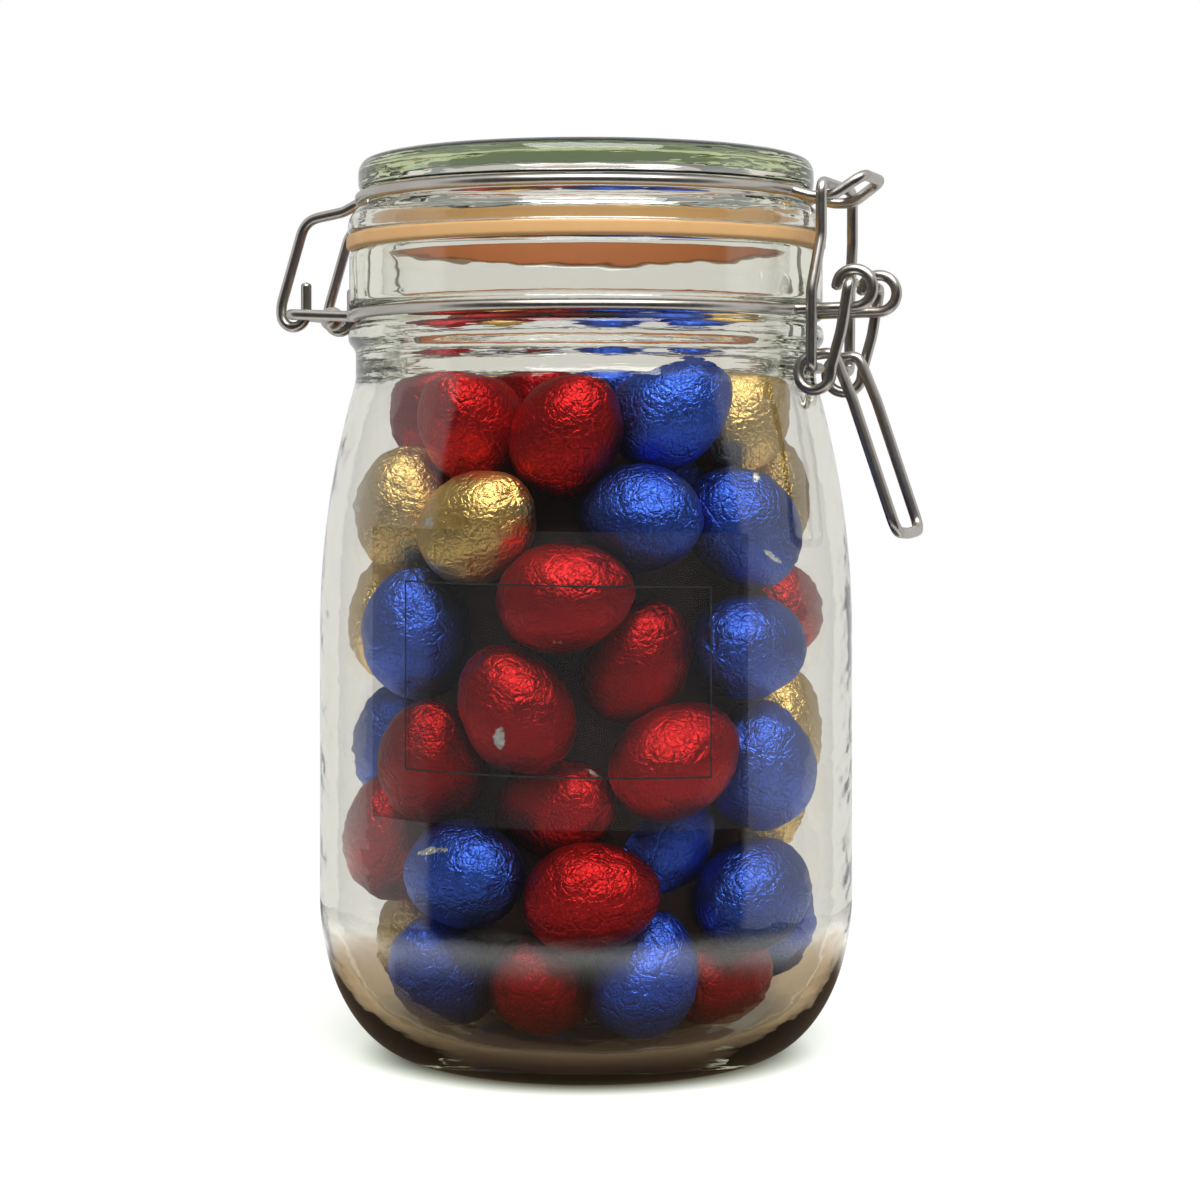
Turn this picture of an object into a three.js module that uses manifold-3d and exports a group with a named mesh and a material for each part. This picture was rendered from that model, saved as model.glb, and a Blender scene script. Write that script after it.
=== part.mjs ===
// A one-litre clip-top glass jar, shut and latched, filled with chocolate eggs wrapped in foil.
// Millimetres, +Z up. The origin is the centre of the base, on the jar's axis.
// +X points to the clasp and -X to the hinge.

import * as THREE from 'three';
import { mergeVertices } from 'three/addons/utils/BufferGeometryUtils.js';
import Module from 'manifold-3d';

const wasm = await Module();
wasm.setup();

// ---- driving dimensions ----

const BODY_RADIUS = 54;          // outside of the jar's straight wall
const WALL = 3.6;                // glass thickness of the straight wall
const FLOOR = 5.5;               // glass thickness of the base
const BASE_RADIUS = 34;          // flat face that the jar stands on
const HEEL_HEIGHT = 32;          // height of the rounded heel
const SHOULDER_START = 86;       // height where the wall starts to draw in
const NECK_START = 136;          // height where the neck is reached
const NECK_RADIUS = 46.8;
const MOUTH_RADIUS = 41.5;
const RIM_TOP = 162.4;           // top face of the jar's rim
const BAND_RADIUS = 48.1;        // thick band under the rim
const NECK_GROOVE_RADIUS = 45.7;
const NECK_WIRE_HEIGHT = 149.3;
const NECK_WIRE_RADIUS = 47.2;
const SEAL_THICKNESS = 2.5;
const SEAL_RADIUS = 48.7;
const SEAL_LIP_RADIUS = 43.5;    // outside of the lip that stands up inside the lid
const SEAL_LIP_TOP = 168;
const GAP = 0.3;                 // clearance where two pieces meet
const LID_FLANGE_RADIUS = 48.4;
const LID_RIM_RADIUS = 46.3;
const LID_TOP = 181.3;
const LID_GROOVE_RADIUS = 44.2;
const LID_WIRE_HEIGHT = 173;
const LID_WIRE_RADIUS = 45.9;
const WIRE = 1.1;                // radius of the steel wire
const TURN_SIDES = 40;           // facets round the glass
const WIRE_SIDES = 6;

const EGG_HALF_LENGTH = 13.4;
const EGG_RADIUS = 10.6;
const FRONT = -71;               // direction that the label faces, degrees from +X

// ---- materials ----

const material = (color, roughness, metalness, opacity = 1) => new THREE.MeshStandardMaterial(
  { color, roughness, metalness, opacity, transparent: opacity < 1 });

const glass = material(0xdde8df, 0.03, 0, 0.35);
const rubber = material(0xe9a45c, 0.6, 0);
const steel = material(0x8d8780, 0.25, 1);
const foil = material(0x9c1a22, 0.3, 0.8);
const film = material(0xf2f2ee, 0.15, 0, 0.3);

const object = new THREE.Group();

function addNode(name, geometry, finish) {
  const mesh = new THREE.Mesh(geometry, finish);
  mesh.name = name;
  object.add(mesh);
}

// ---- the glass: profiles turned about the axis ----

const point = (radius, height) => new THREE.Vector2(radius, height);

// Points of a quarter of an ellipse from its lowest point out to its side.
function quarter(centreRadius, centreHeight, reach, rise, steps) {
  return Array.from({ length: steps + 1 }, (_, i) => {
    const angle = (i / steps) * Math.PI / 2;
    return point(centreRadius + reach * Math.sin(angle), centreHeight - rise * Math.cos(angle));
  });
}

// Points of a wall that draws in from one radius to another as a parabola.
function drawnIn(radius, endRadius, start, end, steps) {
  return Array.from({ length: steps + 1 }, (_, i) => {
    const share = i / steps;
    return point(radius - (radius - endRadius) * share * share, start + (end - start) * share);
  });
}

const turned = (profile, sides = TURN_SIDES) => (
  new THREE.LatheGeometry(profile, sides).rotateX(Math.PI / 2));

const INSIDE_RADIUS = BODY_RADIUS - WALL;
const INSIDE_FLAT = BASE_RADIUS - 3;
const INSIDE_HEEL = HEEL_HEIGHT - 3;
const INSIDE_NECK = NECK_START + 4;

function jarGlass() {
  const outside = [
    point(0, 0),
    ...quarter(BASE_RADIUS, HEEL_HEIGHT, BODY_RADIUS - BASE_RADIUS, HEEL_HEIGHT, 6),
    ...drawnIn(BODY_RADIUS, NECK_RADIUS, SHOULDER_START, NECK_START, 5),
    point(NECK_RADIUS, NECK_START + 6),
    point(BAND_RADIUS + 0.3, NECK_START + 8),
    point(BAND_RADIUS, NECK_START + 10.8),
    point(NECK_GROOVE_RADIUS, NECK_WIRE_HEIGHT - WIRE - GAP),
    point(NECK_GROOVE_RADIUS, NECK_WIRE_HEIGHT + WIRE + 0.5),
    point(BAND_RADIUS, NECK_WIRE_HEIGHT + WIRE + 0.9),
    point(BAND_RADIUS, RIM_TOP - 0.6),
    point(BAND_RADIUS - 0.6, RIM_TOP),
  ];
  const inside = [
    ...quarter(INSIDE_FLAT, FLOOR + INSIDE_HEEL, INSIDE_RADIUS - INSIDE_FLAT, INSIDE_HEEL, 5),
    ...drawnIn(INSIDE_RADIUS, MOUTH_RADIUS, SHOULDER_START, INSIDE_NECK, 4),
    point(MOUTH_RADIUS, RIM_TOP),
  ].reverse();
  return turned([...outside, ...inside, point(0, FLOOR)]);
}

function lidGlass() {
  const seat = RIM_TOP + 2 * GAP + SEAL_THICKNESS;
  const overLip = SEAL_LIP_TOP + GAP;
  return turned([
    point(0, LID_TOP - 4.1),
    point(MOUTH_RADIUS - 2, LID_TOP - 4.1),
    point(MOUTH_RADIUS - GAP, LID_TOP - 5.8),
    point(MOUTH_RADIUS - GAP, overLip),
    point(SEAL_LIP_RADIUS + GAP, overLip),
    point(SEAL_LIP_RADIUS + GAP, seat),
    point(LID_FLANGE_RADIUS, seat),
    point(LID_FLANGE_RADIUS, seat + 2.6),
    point(LID_FLANGE_RADIUS - 1.2, seat + 4.8),
    point(LID_GROOVE_RADIUS + 1, LID_WIRE_HEIGHT - WIRE - GAP),
    point(LID_GROOVE_RADIUS, LID_WIRE_HEIGHT - WIRE),
    point(LID_GROOVE_RADIUS, LID_WIRE_HEIGHT + WIRE + GAP),
    point(LID_RIM_RADIUS, LID_WIRE_HEIGHT + WIRE + 1.6),
    point(LID_RIM_RADIUS, LID_TOP - 2.6),
    point(LID_RIM_RADIUS - 1, LID_TOP - 0.8),
    point(LID_RIM_RADIUS - 3.4, LID_TOP),
    point(LID_RIM_RADIUS - 6, LID_TOP - 0.2),
    point(LID_RIM_RADIUS - 9, LID_TOP - 0.7),
    point(0, LID_TOP - 0.9),
  ]);
}

function sealRing() {
  const under = RIM_TOP + GAP;
  return turned([
    point(MOUTH_RADIUS, under),
    point(SEAL_RADIUS - 0.3, under),
    point(SEAL_RADIUS, under + 0.5),
    point(SEAL_RADIUS, under + SEAL_THICKNESS - 0.5),
    point(SEAL_RADIUS - 0.3, under + SEAL_THICKNESS),
    point(SEAL_LIP_RADIUS, under + SEAL_THICKNESS),
    point(SEAL_LIP_RADIUS, SEAL_LIP_TOP),
    point(MOUTH_RADIUS, SEAL_LIP_TOP),
    point(MOUTH_RADIUS, under),
  ]);
}

// ---- joining solids ----

function toManifold(geometry) {
  geometry.deleteAttribute('normal');
  geometry.deleteAttribute('uv');
  const merged = mergeVertices(geometry, 1e-4);
  return new wasm.Manifold(new wasm.Mesh({
    numProp: 3,
    vertProperties: Float32Array.from(merged.attributes.position.array),
    triVerts: Uint32Array.from(merged.index.array),
  }));
}

function fromManifold(solid) {
  const mesh = solid.getMesh();
  const geometry = new THREE.BufferGeometry();
  geometry.setAttribute('position', new THREE.BufferAttribute(mesh.vertProperties, 3));
  geometry.setIndex(new THREE.BufferAttribute(mesh.triVerts, 1));
  return geometry;
}

// ---- the wires ----

// A path that visits its points in order, one step from each to the next.
class Route extends THREE.Curve {
  constructor(points) {
    super();
    this.points = points;
  }

  getPoint(t, target = new THREE.Vector3()) {
    const place = Math.min(Math.max(t, 0), 1) * (this.points.length - 1);
    const index = Math.min(Math.floor(place), this.points.length - 2);
    return target.lerpVectors(this.points[index], this.points[index + 1], place - index);
  }

  getUtoTmapping(u) {
    return u;
  }
}

function wireAlong(points) {
  const outline = new THREE.Shape();
  for (let i = 0; i < WIRE_SIDES; i += 1) {
    const angle = (i / WIRE_SIDES) * 2 * Math.PI;
    const method = i === 0 ? 'moveTo' : 'lineTo';
    outline[method](WIRE * Math.cos(angle), WIRE * Math.sin(angle));
  }
  outline.closePath();
  return new THREE.ExtrudeGeometry(outline,
    { extrudePath: new Route(points), steps: points.length - 1, curveSegments: 1 });
}

// Rounds the corners of a run of straight pieces; a corner is [x, y, z, bend radius].
function rounded(corners) {
  const at = (corner) => new THREE.Vector3(corner[0], corner[1], corner[2]);
  const points = [at(corners[0])];
  for (let i = 1; i < corners.length - 1; i += 1) {
    const corner = at(corners[i]);
    const back = at(corners[i - 1]).sub(corner).normalize();
    const ahead = at(corners[i + 1]).sub(corner).normalize();
    const radius = corners[i][3] ?? 0;
    const turn = Math.PI - back.angleTo(ahead);
    const steps = Math.round(turn / 0.5);
    if (radius === 0 || steps === 0) {
      points.push(corner);
      continue;
    }
    const centre = back.clone().add(ahead).normalize()
      .multiplyScalar(radius / Math.cos(turn / 2)).add(corner);
    const start = back.clone().multiplyScalar(radius * Math.tan(turn / 2)).add(corner).sub(centre);
    const axis = start.clone().cross(corner.clone().sub(centre)).normalize();
    for (let step = 0; step <= steps; step += 1) {
      points.push(start.clone().applyAxisAngle(axis, turn * step / steps).add(centre));
    }
  }
  points.push(at(corners.at(-1)));
  return points;
}

const degrees = THREE.MathUtils.degToRad;

// Points of an arc in an upright plane y = side; angles in degrees from +X towards +Z.
function uprightArc(x, z, radius, from, to, side, endSide = side) {
  const steps = Math.ceil(Math.abs(to - from) / 30);
  return Array.from({ length: steps + 1 }, (_, i) => {
    const share = i / steps;
    const angle = degrees(from + (to - from) * share);
    return new THREE.Vector3(x + radius * Math.cos(angle), side + (endSide - side) * share,
      z + radius * Math.sin(angle));
  });
}

// Points of a level arc about the jar's axis; angles in degrees from +X towards +Y.
function levelArc(radius, height, from, to) {
  const steps = Math.ceil(Math.abs(to - from) / 9);
  return Array.from({ length: steps + 1 }, (_, i) => {
    const angle = degrees(from + (to - from) * i / steps);
    return new THREE.Vector3(radius * Math.cos(angle), radius * Math.sin(angle), height);
  });
}

// A wire that is alike on both sides of y = 0, from the points of its -Y half.
function bothSides(half) {
  const mirrored = half.map((p) => new THREE.Vector3(p.x, -p.y, p.z)).reverse();
  return half.at(-1).y > -0.01 ? [...half, ...mirrored.slice(1)] : [...half, ...mirrored];
}

const corner = (p, radius) => [p.x, p.y, p.z, radius];

// Clasp and hinge places, in the plane of the wires.
const EYE = { x: 58.6, z: 153.4, radius: 3.7, side: -10.2 };      // ends of the neck wire
const ELBOW = { x: 51.1, z: 137.1, radius: 3.5 };                  // loops of the lever
const ARM_SIDE = -12.8;
const BAIL_SIDE = -15.4;
const BAIL_TOP = { x: 52.6, z: 174.2, side: -12.6 };
const HINGE_BAR = { x: -59.8, z: 150, side: -14.5 };
const BEAD = { side: 7.7, radius: 2.6 };                           // on the hinge bar
const HOOK = { x: -59.8, z: 150.2, radius: 2.8, side: -11.8 };
const NOSE_SIDE = -8.5;

function neckWire() {
  const ring = levelArc(NECK_WIRE_RADIUS, NECK_WIRE_HEIGHT, -20, -157);
  const strandZ = EYE.z - EYE.radius;
  const leave = Math.sqrt(NECK_WIRE_RADIUS ** 2 - EYE.side ** 2);
  const hingeLeave = -Math.sqrt(NECK_WIRE_RADIUS ** 2 - HINGE_BAR.side ** 2);
  const eye = uprightArc(EYE.x, EYE.z, EYE.radius, 150, -90, EYE.side);
  const curlEnd = new THREE.Vector3(EYE.x - EYE.radius, EYE.side, EYE.z - 0.4);
  const toRing = rounded([
    corner(eye.at(-1)),
    [leave, EYE.side, (NECK_WIRE_HEIGHT + strandZ) / 2, 2.5],
    corner(ring[0]),
  ]);
  const toBar = rounded([
    corner(ring.at(-1)),
    [hingeLeave, HINGE_BAR.side, NECK_WIRE_HEIGHT, 2],
    [HINGE_BAR.x, HINGE_BAR.side, HINGE_BAR.z, 1.8],
    [HINGE_BAR.x, 0, HINGE_BAR.z],
  ]);
  const wire = toManifold(wireAlong(bothSides([
    curlEnd, ...eye, ...toRing.slice(1, -1), ...ring, ...toBar.slice(1),
  ])));
  const bead = new THREE.SphereGeometry(BEAD.radius, 8, 6)
    .translate(HINGE_BAR.x, BEAD.side, HINGE_BAR.z);
  return fromManifold(wire.add(toManifold(bead)));
}

function lidWire() {
  const ring = levelArc(LID_WIRE_RADIUS, LID_WIRE_HEIGHT, -162, -20);
  const stubTop = new THREE.Vector3(HOOK.x + HOOK.radius, HOOK.side, HOOK.z + 6.5);
  const hook = uprightArc(HOOK.x, HOOK.z, HOOK.radius, 0, -180, HOOK.side);
  const hingeJoin = -Math.sqrt(LID_WIRE_RADIUS ** 2 - HOOK.side ** 2);
  const noseJoin = Math.sqrt(LID_WIRE_RADIUS ** 2 - NOSE_SIDE ** 2);
  const leg = rounded([
    corner(hook.at(-1)),
    [HOOK.x - HOOK.radius, HOOK.side, 152, 6],
    [-57.2, HOOK.side, 169.4, 5],
    [-48.6, HOOK.side, 170.9, 4],
    [hingeJoin, HOOK.side, LID_WIRE_HEIGHT, 2.4],
    corner(ring[0]),
  ]);
  const nose = rounded([
    corner(ring.at(-1)),
    [noseJoin, NOSE_SIDE, LID_WIRE_HEIGHT, 2.4],
    [49.8, NOSE_SIDE, 171.6, 4],
    [53.6, NOSE_SIDE, 171.5, 5],
    [59.8, NOSE_SIDE + 1, 175.7, 3],
    [59.8, 0, 175.7],
  ]);
  return wireAlong(bothSides([
    stubTop, ...hook, ...leg.slice(1, -1), ...ring, ...nose.slice(1),
  ]));
}

function bail() {
  const pin = { x: ELBOW.x + 0.2, z: ELBOW.z + 0.8 };
  return wireAlong(bothSides(rounded([
    [pin.x, ARM_SIDE + 4.2, pin.z],
    [pin.x, BAIL_SIDE, pin.z, 1.5],
    [51.4, BAIL_SIDE, 153, 6],
    [BAIL_TOP.x, BAIL_TOP.side, 163.5, 6],
    [BAIL_TOP.x, BAIL_TOP.side, BAIL_TOP.z, 2.6],
    [BAIL_TOP.x, 0, BAIL_TOP.z],
  ])));
}

function lever() {
  const handleSide = EYE.side;
  const pin = { x: EYE.x - 0.4, z: EYE.z + 1.1 };
  const loop = uprightArc(ELBOW.x, ELBOW.z, ELBOW.radius, 10, -275, ARM_SIDE, handleSide);
  const arm = rounded([
    [pin.x, EYE.side + 2.2, pin.z],
    [pin.x, ARM_SIDE, pin.z, 1.5],
    [56.6, ARM_SIDE, 145, 12],
    corner(loop[0]),
  ]);
  const handle = rounded([
    corner(loop.at(-1)),
    [54.4, handleSide, ELBOW.z + 3.9, 2.5],
    [58.2, handleSide, 131.8, 8],
    [67, handleSide, 106, 3.2],
    [67, 0, 105.6],
  ]);
  return wireAlong(bothSides([...arm.slice(0, -1), ...loop, ...handle.slice(1)]));
}

// ---- the label: a clear film bent round the wall ----

function labelFilm() {
  const innerRadius = BODY_RADIUS + GAP;
  const outerRadius = innerRadius + 0.25;
  const from = degrees(FRONT - 48.6);
  const to = degrees(FRONT + 34.1);
  const outline = new THREE.Shape();
  outline.absarc(0, 0, outerRadius, from, to, false);
  outline.absarc(0, 0, innerRadius, to, from, true);
  outline.closePath();
  const geometry = new THREE.ExtrudeGeometry(outline,
    { depth: 55.4, bevelEnabled: false, curveSegments: 14 });
  geometry.translate(0, 0, 51.3);
  return geometry;
}

// ---- the eggs ----

// The near side, row by row from the top. Each egg is [degrees round from the front, height,
// slant of its long axis, degrees that it turns away from the wall, how deep it lies, foil].
const NEAR_SIDE = [
  [-68, 122, 60, 30, 3, 'red'], [-28, 130, 20, 35, 15, 'red'], [-5, 124, 60, 30, 7, 'red'],
  [34, 125, 60, 35, 12, 'blue'], [77, 126, 75, 20, 0, 'gold'], [-84, 104, 75, 0, 0, 'gold'],
  [-39, 108, 30, 10, 4, 'gold'], [16, 109, 0, 60, 5, 'blue'], [68, 120, 30, 40, 16, 'blue'],
  [59, 102, -50, 15, 0, 'blue'], [94, 106, 80, 0, 0, 'gold'], [-89, 88, 85, 0, 0, 'gold'],
  [-63, 86, 80, 10, 1, 'blue'], [-5, 94, 10, 10, 3, 'red'], [14, 82, 65, 25, 4, 'red'],
  [68, 86, 5, 10, 0, 'blue'], [89, 92, 0, 0, 0, 'red'], [-89, 67, 80, 0, 0, 'blue'],
  [-53, 60, 70, 20, 3, 'red'], [-21, 74, 118, 10, 3, 'red'], [28, 62, 35, 10, 4, 'red'],
  [80, 62, 100, 0, 2, 'blue'], [88, 70, 80, 0, 0, 'gold'], [-89, 46, 80, 0, 0, 'red'],
  [-6, 48, 10, 35, 4, 'red'], [37, 44, 40, 0, 20, 'blue'], [92, 45, 80, 0, 3, 'gold'],
  [-43, 38, 0, 10, 0, 'blue'], [-1, 35, 8, 0, 0, 'red'], [62, 37, 25, 10, 1, 'blue'],
  [-91, 22, 70, 0, 1, 'gold'], [-60, 23, 70, 40, 0, 'blue'], [-13, 13, 80, 60, 4, 'red'],
  [26, 17, 75, 10, 0, 'blue'], [71, 18, 20, 20, 0, 'red'], [88, 30, 80, 0, 0, 'blue'],
];
const NEXT_FOIL = { red: 'blue', blue: 'gold', gold: 'red' };
const SHARED_EDGE = 80;          // eggs further round than this serve both sides
const INNER_ROWS = [20, 44, 68, 92, 114];
const INNER_PER_ROW = 3;
const INNER_RADIUS = 13;
const SETTLE_STEPS = 60;
const PUSH_SHARE = 0.25;         // part of an overlap that one step takes away
const SIDEWAYS_SHARE = 0.15;     // part of a push that moves a near-side egg sideways or up
const EGG_CLEARANCE = 1;         // gap that a settled egg keeps to the glass
const HEAP_TOP = 146;            // height that the topmost eggs reach

// An egg from its place round the jar, with its long axis as a unit vector.
function placeEgg([around, height, slant, turn, depth, wrap]) {
  const angle = degrees(FRONT + around);
  const outward = new THREE.Vector3(Math.cos(angle), Math.sin(angle), 0);
  const along = new THREE.Vector3(-Math.sin(angle), Math.cos(angle), 0);
  const axis = along.multiplyScalar(Math.cos(degrees(slant)));
  axis.z = Math.sin(degrees(slant));
  axis.multiplyScalar(Math.cos(degrees(turn))).addScaledVector(outward, Math.sin(degrees(turn)));
  const reach = INSIDE_RADIUS - EGG_RADIUS - depth;
  const centre = outward.multiplyScalar(reach);
  centre.z = height;
  return { centre, axis: axis.normalize(), wrap };
}

function allEggs() {
  const farSide = NEAR_SIDE.filter(([around]) => Math.abs(around) < SHARED_EDGE)
    .map(([around, height, slant, turn, depth, wrap]) => (
      [around + 180, height, -slant, turn, depth, NEXT_FOIL[wrap]]));
  const wraps = Object.keys(NEXT_FOIL);
  const inner = INNER_ROWS.flatMap((height, row) => (
    Array.from({ length: INNER_PER_ROW }, (_, i) => {
      const around = 360 * i / INNER_PER_ROW + 40 * row;
      const depth = INSIDE_RADIUS - EGG_RADIUS - INNER_RADIUS;
      return [around, height, 30 * i + 20 * row, 20 * row, depth, wraps[(i + row) % 3]];
    })));
  return [...NEAR_SIDE, ...farSide, ...inner].map(placeEgg);
}

// Radius of the jar's inside at a height.
function insideRadius(height) {
  const heelTop = FLOOR + INSIDE_HEEL;
  if (height < heelTop) {
    const drop = Math.min((heelTop - height) / INSIDE_HEEL, 1);
    return INSIDE_FLAT + (INSIDE_RADIUS - INSIDE_FLAT) * Math.sqrt(1 - drop * drop);
  }
  const share = Math.min(Math.max((height - SHOULDER_START) / (INSIDE_NECK - SHOULDER_START), 0), 1);
  return INSIDE_RADIUS - (INSIDE_RADIUS - MOUTH_RADIUS) * share * share;
}

// How far out the centre of a ball inside the jar may lie, by its height and radius.
function roomForBall(height, radius) {
  const slants = [-80, -60, -40, -20, 0, 20, 40, 60, 80].map(degrees);
  return Math.min(...slants.map((slant) => (
    insideRadius(height + radius * Math.sin(slant)) - radius * Math.cos(slant))));
}

// Three balls stand for an egg while it settles: a large one and one towards each end.
const BALLS = [[-5, 9], [0, EGG_RADIUS], [5, 9]];

// Pushes overlapping eggs apart and back from the glass, all of them at once in each step.
// The eggs of the near side give way mostly in depth, so that they keep their order.
function settle(eggs) {
  const front = new THREE.Vector3(Math.cos(degrees(FRONT)), Math.sin(degrees(FRONT)), 0);
  for (let step = 0; step < SETTLE_STEPS; step += 1) {
    const balls = eggs.map(({ centre, axis }) => BALLS.map(([offset, radius]) => (
      { place: centre.clone().addScaledVector(axis, offset), radius })));
    const pushes = eggs.map(() => new THREE.Vector3());
    for (let a = 0; a < eggs.length; a += 1) {
      for (let b = a + 1; b < eggs.length; b += 1) {
        for (const one of balls[a]) {
          for (const other of balls[b]) {
            const apart = one.place.clone().sub(other.place);
            const overlap = one.radius + other.radius - apart.length();
            if (overlap > 0) {
              apart.normalize().multiplyScalar(overlap * PUSH_SHARE);
              pushes[a].add(apart);
              pushes[b].sub(apart);
            }
          }
        }
      }
    }
    eggs.forEach((egg, i) => {
      if (i < NEAR_SIDE.length) {
        const inDepth = pushes[i].dot(front) * (1 - SIDEWAYS_SHARE);
        pushes[i].multiplyScalar(SIDEWAYS_SHARE).addScaledVector(front, inDepth);
      }
      egg.centre.add(pushes[i]);
      let lift = 0;
      let drop = 0;
      let inward = 0;
      for (const [offset, radius] of BALLS) {
        const ball = egg.centre.clone().addScaledVector(egg.axis, offset);
        lift = Math.max(lift, FLOOR + EGG_CLEARANCE + radius - ball.z);
        drop = Math.max(drop, ball.z + radius - HEAP_TOP);
        const limit = roomForBall(ball.z, radius + EGG_CLEARANCE);
        inward = Math.max(inward, Math.hypot(ball.x, ball.y) - limit);
      }
      const distance = Math.hypot(egg.centre.x, egg.centre.y);
      egg.centre.z += lift - drop;
      egg.centre.x *= 1 - inward / distance;
      egg.centre.y *= 1 - inward / distance;
    });
  }
  return eggs;
}

// An egg with few faces: a ball stretched along its axis, blunter at one end.
function eggGeometry({ centre, axis }) {
  const geometry = new THREE.SphereGeometry(1, 8, 6);
  const position = geometry.attributes.position;
  for (let i = 0; i < position.count; i += 1) {
    const height = position.getY(i);
    const girth = EGG_RADIUS * (1 - 0.08 * height);
    position.setXYZ(i, girth * position.getX(i), EGG_HALF_LENGTH * height, girth * position.getZ(i));
  }
  const turn = new THREE.Quaternion().setFromUnitVectors(new THREE.Vector3(0, 1, 0), axis);
  return geometry.applyQuaternion(turn).translate(centre.x, centre.y, centre.z);
}

// A plain core inside the outer layer of eggs, joined with the eggs of that layer.
function eggHeap() {
  const coreRadius = INSIDE_RADIUS - EGG_RADIUS - 0.5;
  const coreTop = 124;
  const core = turned([
    point(0, 9), point(coreRadius - 9, 9), point(coreRadius, 22), point(coreRadius, 100),
    point(coreRadius - 7, coreTop), point(EGG_RADIUS, coreTop + 8), point(0, coreTop + 10),
  ], 16);
  const shown = settle(allEggs()).filter(({ centre }) => (
    Math.hypot(centre.x, centre.y) > coreRadius - 8 || centre.z > coreTop - 8));
  const heap = shown.reduce((solid, egg) => solid.add(toManifold(eggGeometry(egg))),
    toManifold(core));
  return fromManifold(heap);
}

addNode('jar_glass', jarGlass(), glass);
addNode('egg_heap', eggHeap(), foil);
addNode('label_film', labelFilm(), film);
addNode('seal', sealRing(), rubber);
addNode('lid_glass', lidGlass(), glass);
addNode('neck_wire', neckWire(), steel);
addNode('lid_wire', lidWire(), steel);
addNode('bail', bail(), steel);
addNode('lever', lever(), steel);

export default object;
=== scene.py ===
"""A one-litre clip-top glass jar, shut and latched, filled with chocolate eggs wrapped in foil.

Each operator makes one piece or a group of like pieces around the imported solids.
Shapes are worked out in millimetres and put into the meshes in metres.
"""

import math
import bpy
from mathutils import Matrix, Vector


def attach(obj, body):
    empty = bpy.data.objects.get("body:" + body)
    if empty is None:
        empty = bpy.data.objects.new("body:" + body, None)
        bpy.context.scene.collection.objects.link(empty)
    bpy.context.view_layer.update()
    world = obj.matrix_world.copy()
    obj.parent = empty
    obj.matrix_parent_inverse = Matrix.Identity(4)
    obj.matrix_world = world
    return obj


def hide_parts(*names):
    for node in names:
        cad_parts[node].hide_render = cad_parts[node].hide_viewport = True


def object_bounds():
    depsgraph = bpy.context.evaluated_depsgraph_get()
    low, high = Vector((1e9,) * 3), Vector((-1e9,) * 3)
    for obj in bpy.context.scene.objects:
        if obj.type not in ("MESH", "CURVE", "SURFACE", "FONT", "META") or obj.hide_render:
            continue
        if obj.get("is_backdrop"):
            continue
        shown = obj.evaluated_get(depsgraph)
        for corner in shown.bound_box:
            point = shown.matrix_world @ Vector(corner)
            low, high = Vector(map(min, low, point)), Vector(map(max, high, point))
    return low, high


bl_info = {
    "name": "Clip-top Jar of Foil Eggs",
    "version": (1, 0, 0),
    "blender": (4, 5, 0),
    "location": "View3D > Sidebar > Egg Jar",
    "description": "Makes a clip-top glass jar filled with foil-wrapped chocolate eggs",
    "category": "Add Mesh",
}

import bmesh
import bpy
import numpy as np
from bpy.props import FloatProperty, FloatVectorProperty, IntProperty, PointerProperty

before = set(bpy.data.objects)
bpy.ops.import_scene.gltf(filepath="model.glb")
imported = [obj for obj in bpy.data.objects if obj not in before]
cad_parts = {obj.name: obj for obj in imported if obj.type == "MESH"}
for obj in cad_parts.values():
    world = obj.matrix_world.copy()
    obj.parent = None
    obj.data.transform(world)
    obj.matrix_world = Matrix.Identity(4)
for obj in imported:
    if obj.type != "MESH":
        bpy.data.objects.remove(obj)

MM = 0.001
FRONT = -71.0                   # direction that the label faces, degrees from +X
STEEP_EXIT = 0.16               # slant beyond which light mirrored inside the glass bends out

# Stage, in metres; the camera's shift is in parts of the photograph's width.
CAMERA_AZIMUTH = 19.0
CAMERA_SHIFT = (14 / 1200, -140 / 1200)
KEY_SIZE = (0.72, 0.44)
KEY_PLACE = (0.05, 0.45, 0.75)  # to the camera's right, towards the camera, and up
JAR_MIDDLE = 0.09
STAGE_RADIUS = 0.22
STAGE_SIDES = 96
FLOOR_FADE = 0.12               # distance at which the floor starts to fade out

# Glass and seal, in millimetres.
BASE_FLAT = 34.0                # radius at which the heel starts to turn up
HEEL_HEIGHT = 32.0
FLOOR = 5.5                     # top of the glass floor
INSIDE_HEEL_HEIGHT = 26.0
SHOULDER_START = 86.0
SHOULDER_END = 136.0
INSIDE_NECK = 140.0             # height at which the inside has drawn in to the mouth
NECK_RADIUS = 46.8
MOUTH_RADIUS = 41.5
RIM_TOP = 162.4
SEAL_UNDER = 162.7
SEAL_TOP = 165.2
SEAL_RADIUS = 48.7
SEAL_LIP_RADIUS = 43.5          # outside of the lip that stands up inside the lid
SEAL_LIP_TOP = 168.0
LID_SEAT = 165.5
RIPPLE_SPAN = (12.0, 120.0)     # heights between which the inside of the wall is wavy
RIPPLE_FADE = 20.0
JAR_SIDES = 200
LID_SIDES = 220
LONG_RUN = 4.0                  # a profile's longer runs are held flat to the eye
HOLD_STEP = 0.3
QUARTER_STEPS = 22
SHOULDER_STEPS = 24

# Wires, in millimetres and degrees.
NECK_WIRE_HEIGHT = 149.3
NECK_WIRE_RADIUS = 47.2
LID_WIRE_HEIGHT = 173.0
LID_WIRE_RADIUS = 45.9
WIRE_STEP = 0.3
WIRE_SOFTENING = 0.45
WIRE_SIDES = 14
END_ROUNDING = 0.8              # length of a rounded wire end, in parts of its radius


# ---- settings ----

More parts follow.
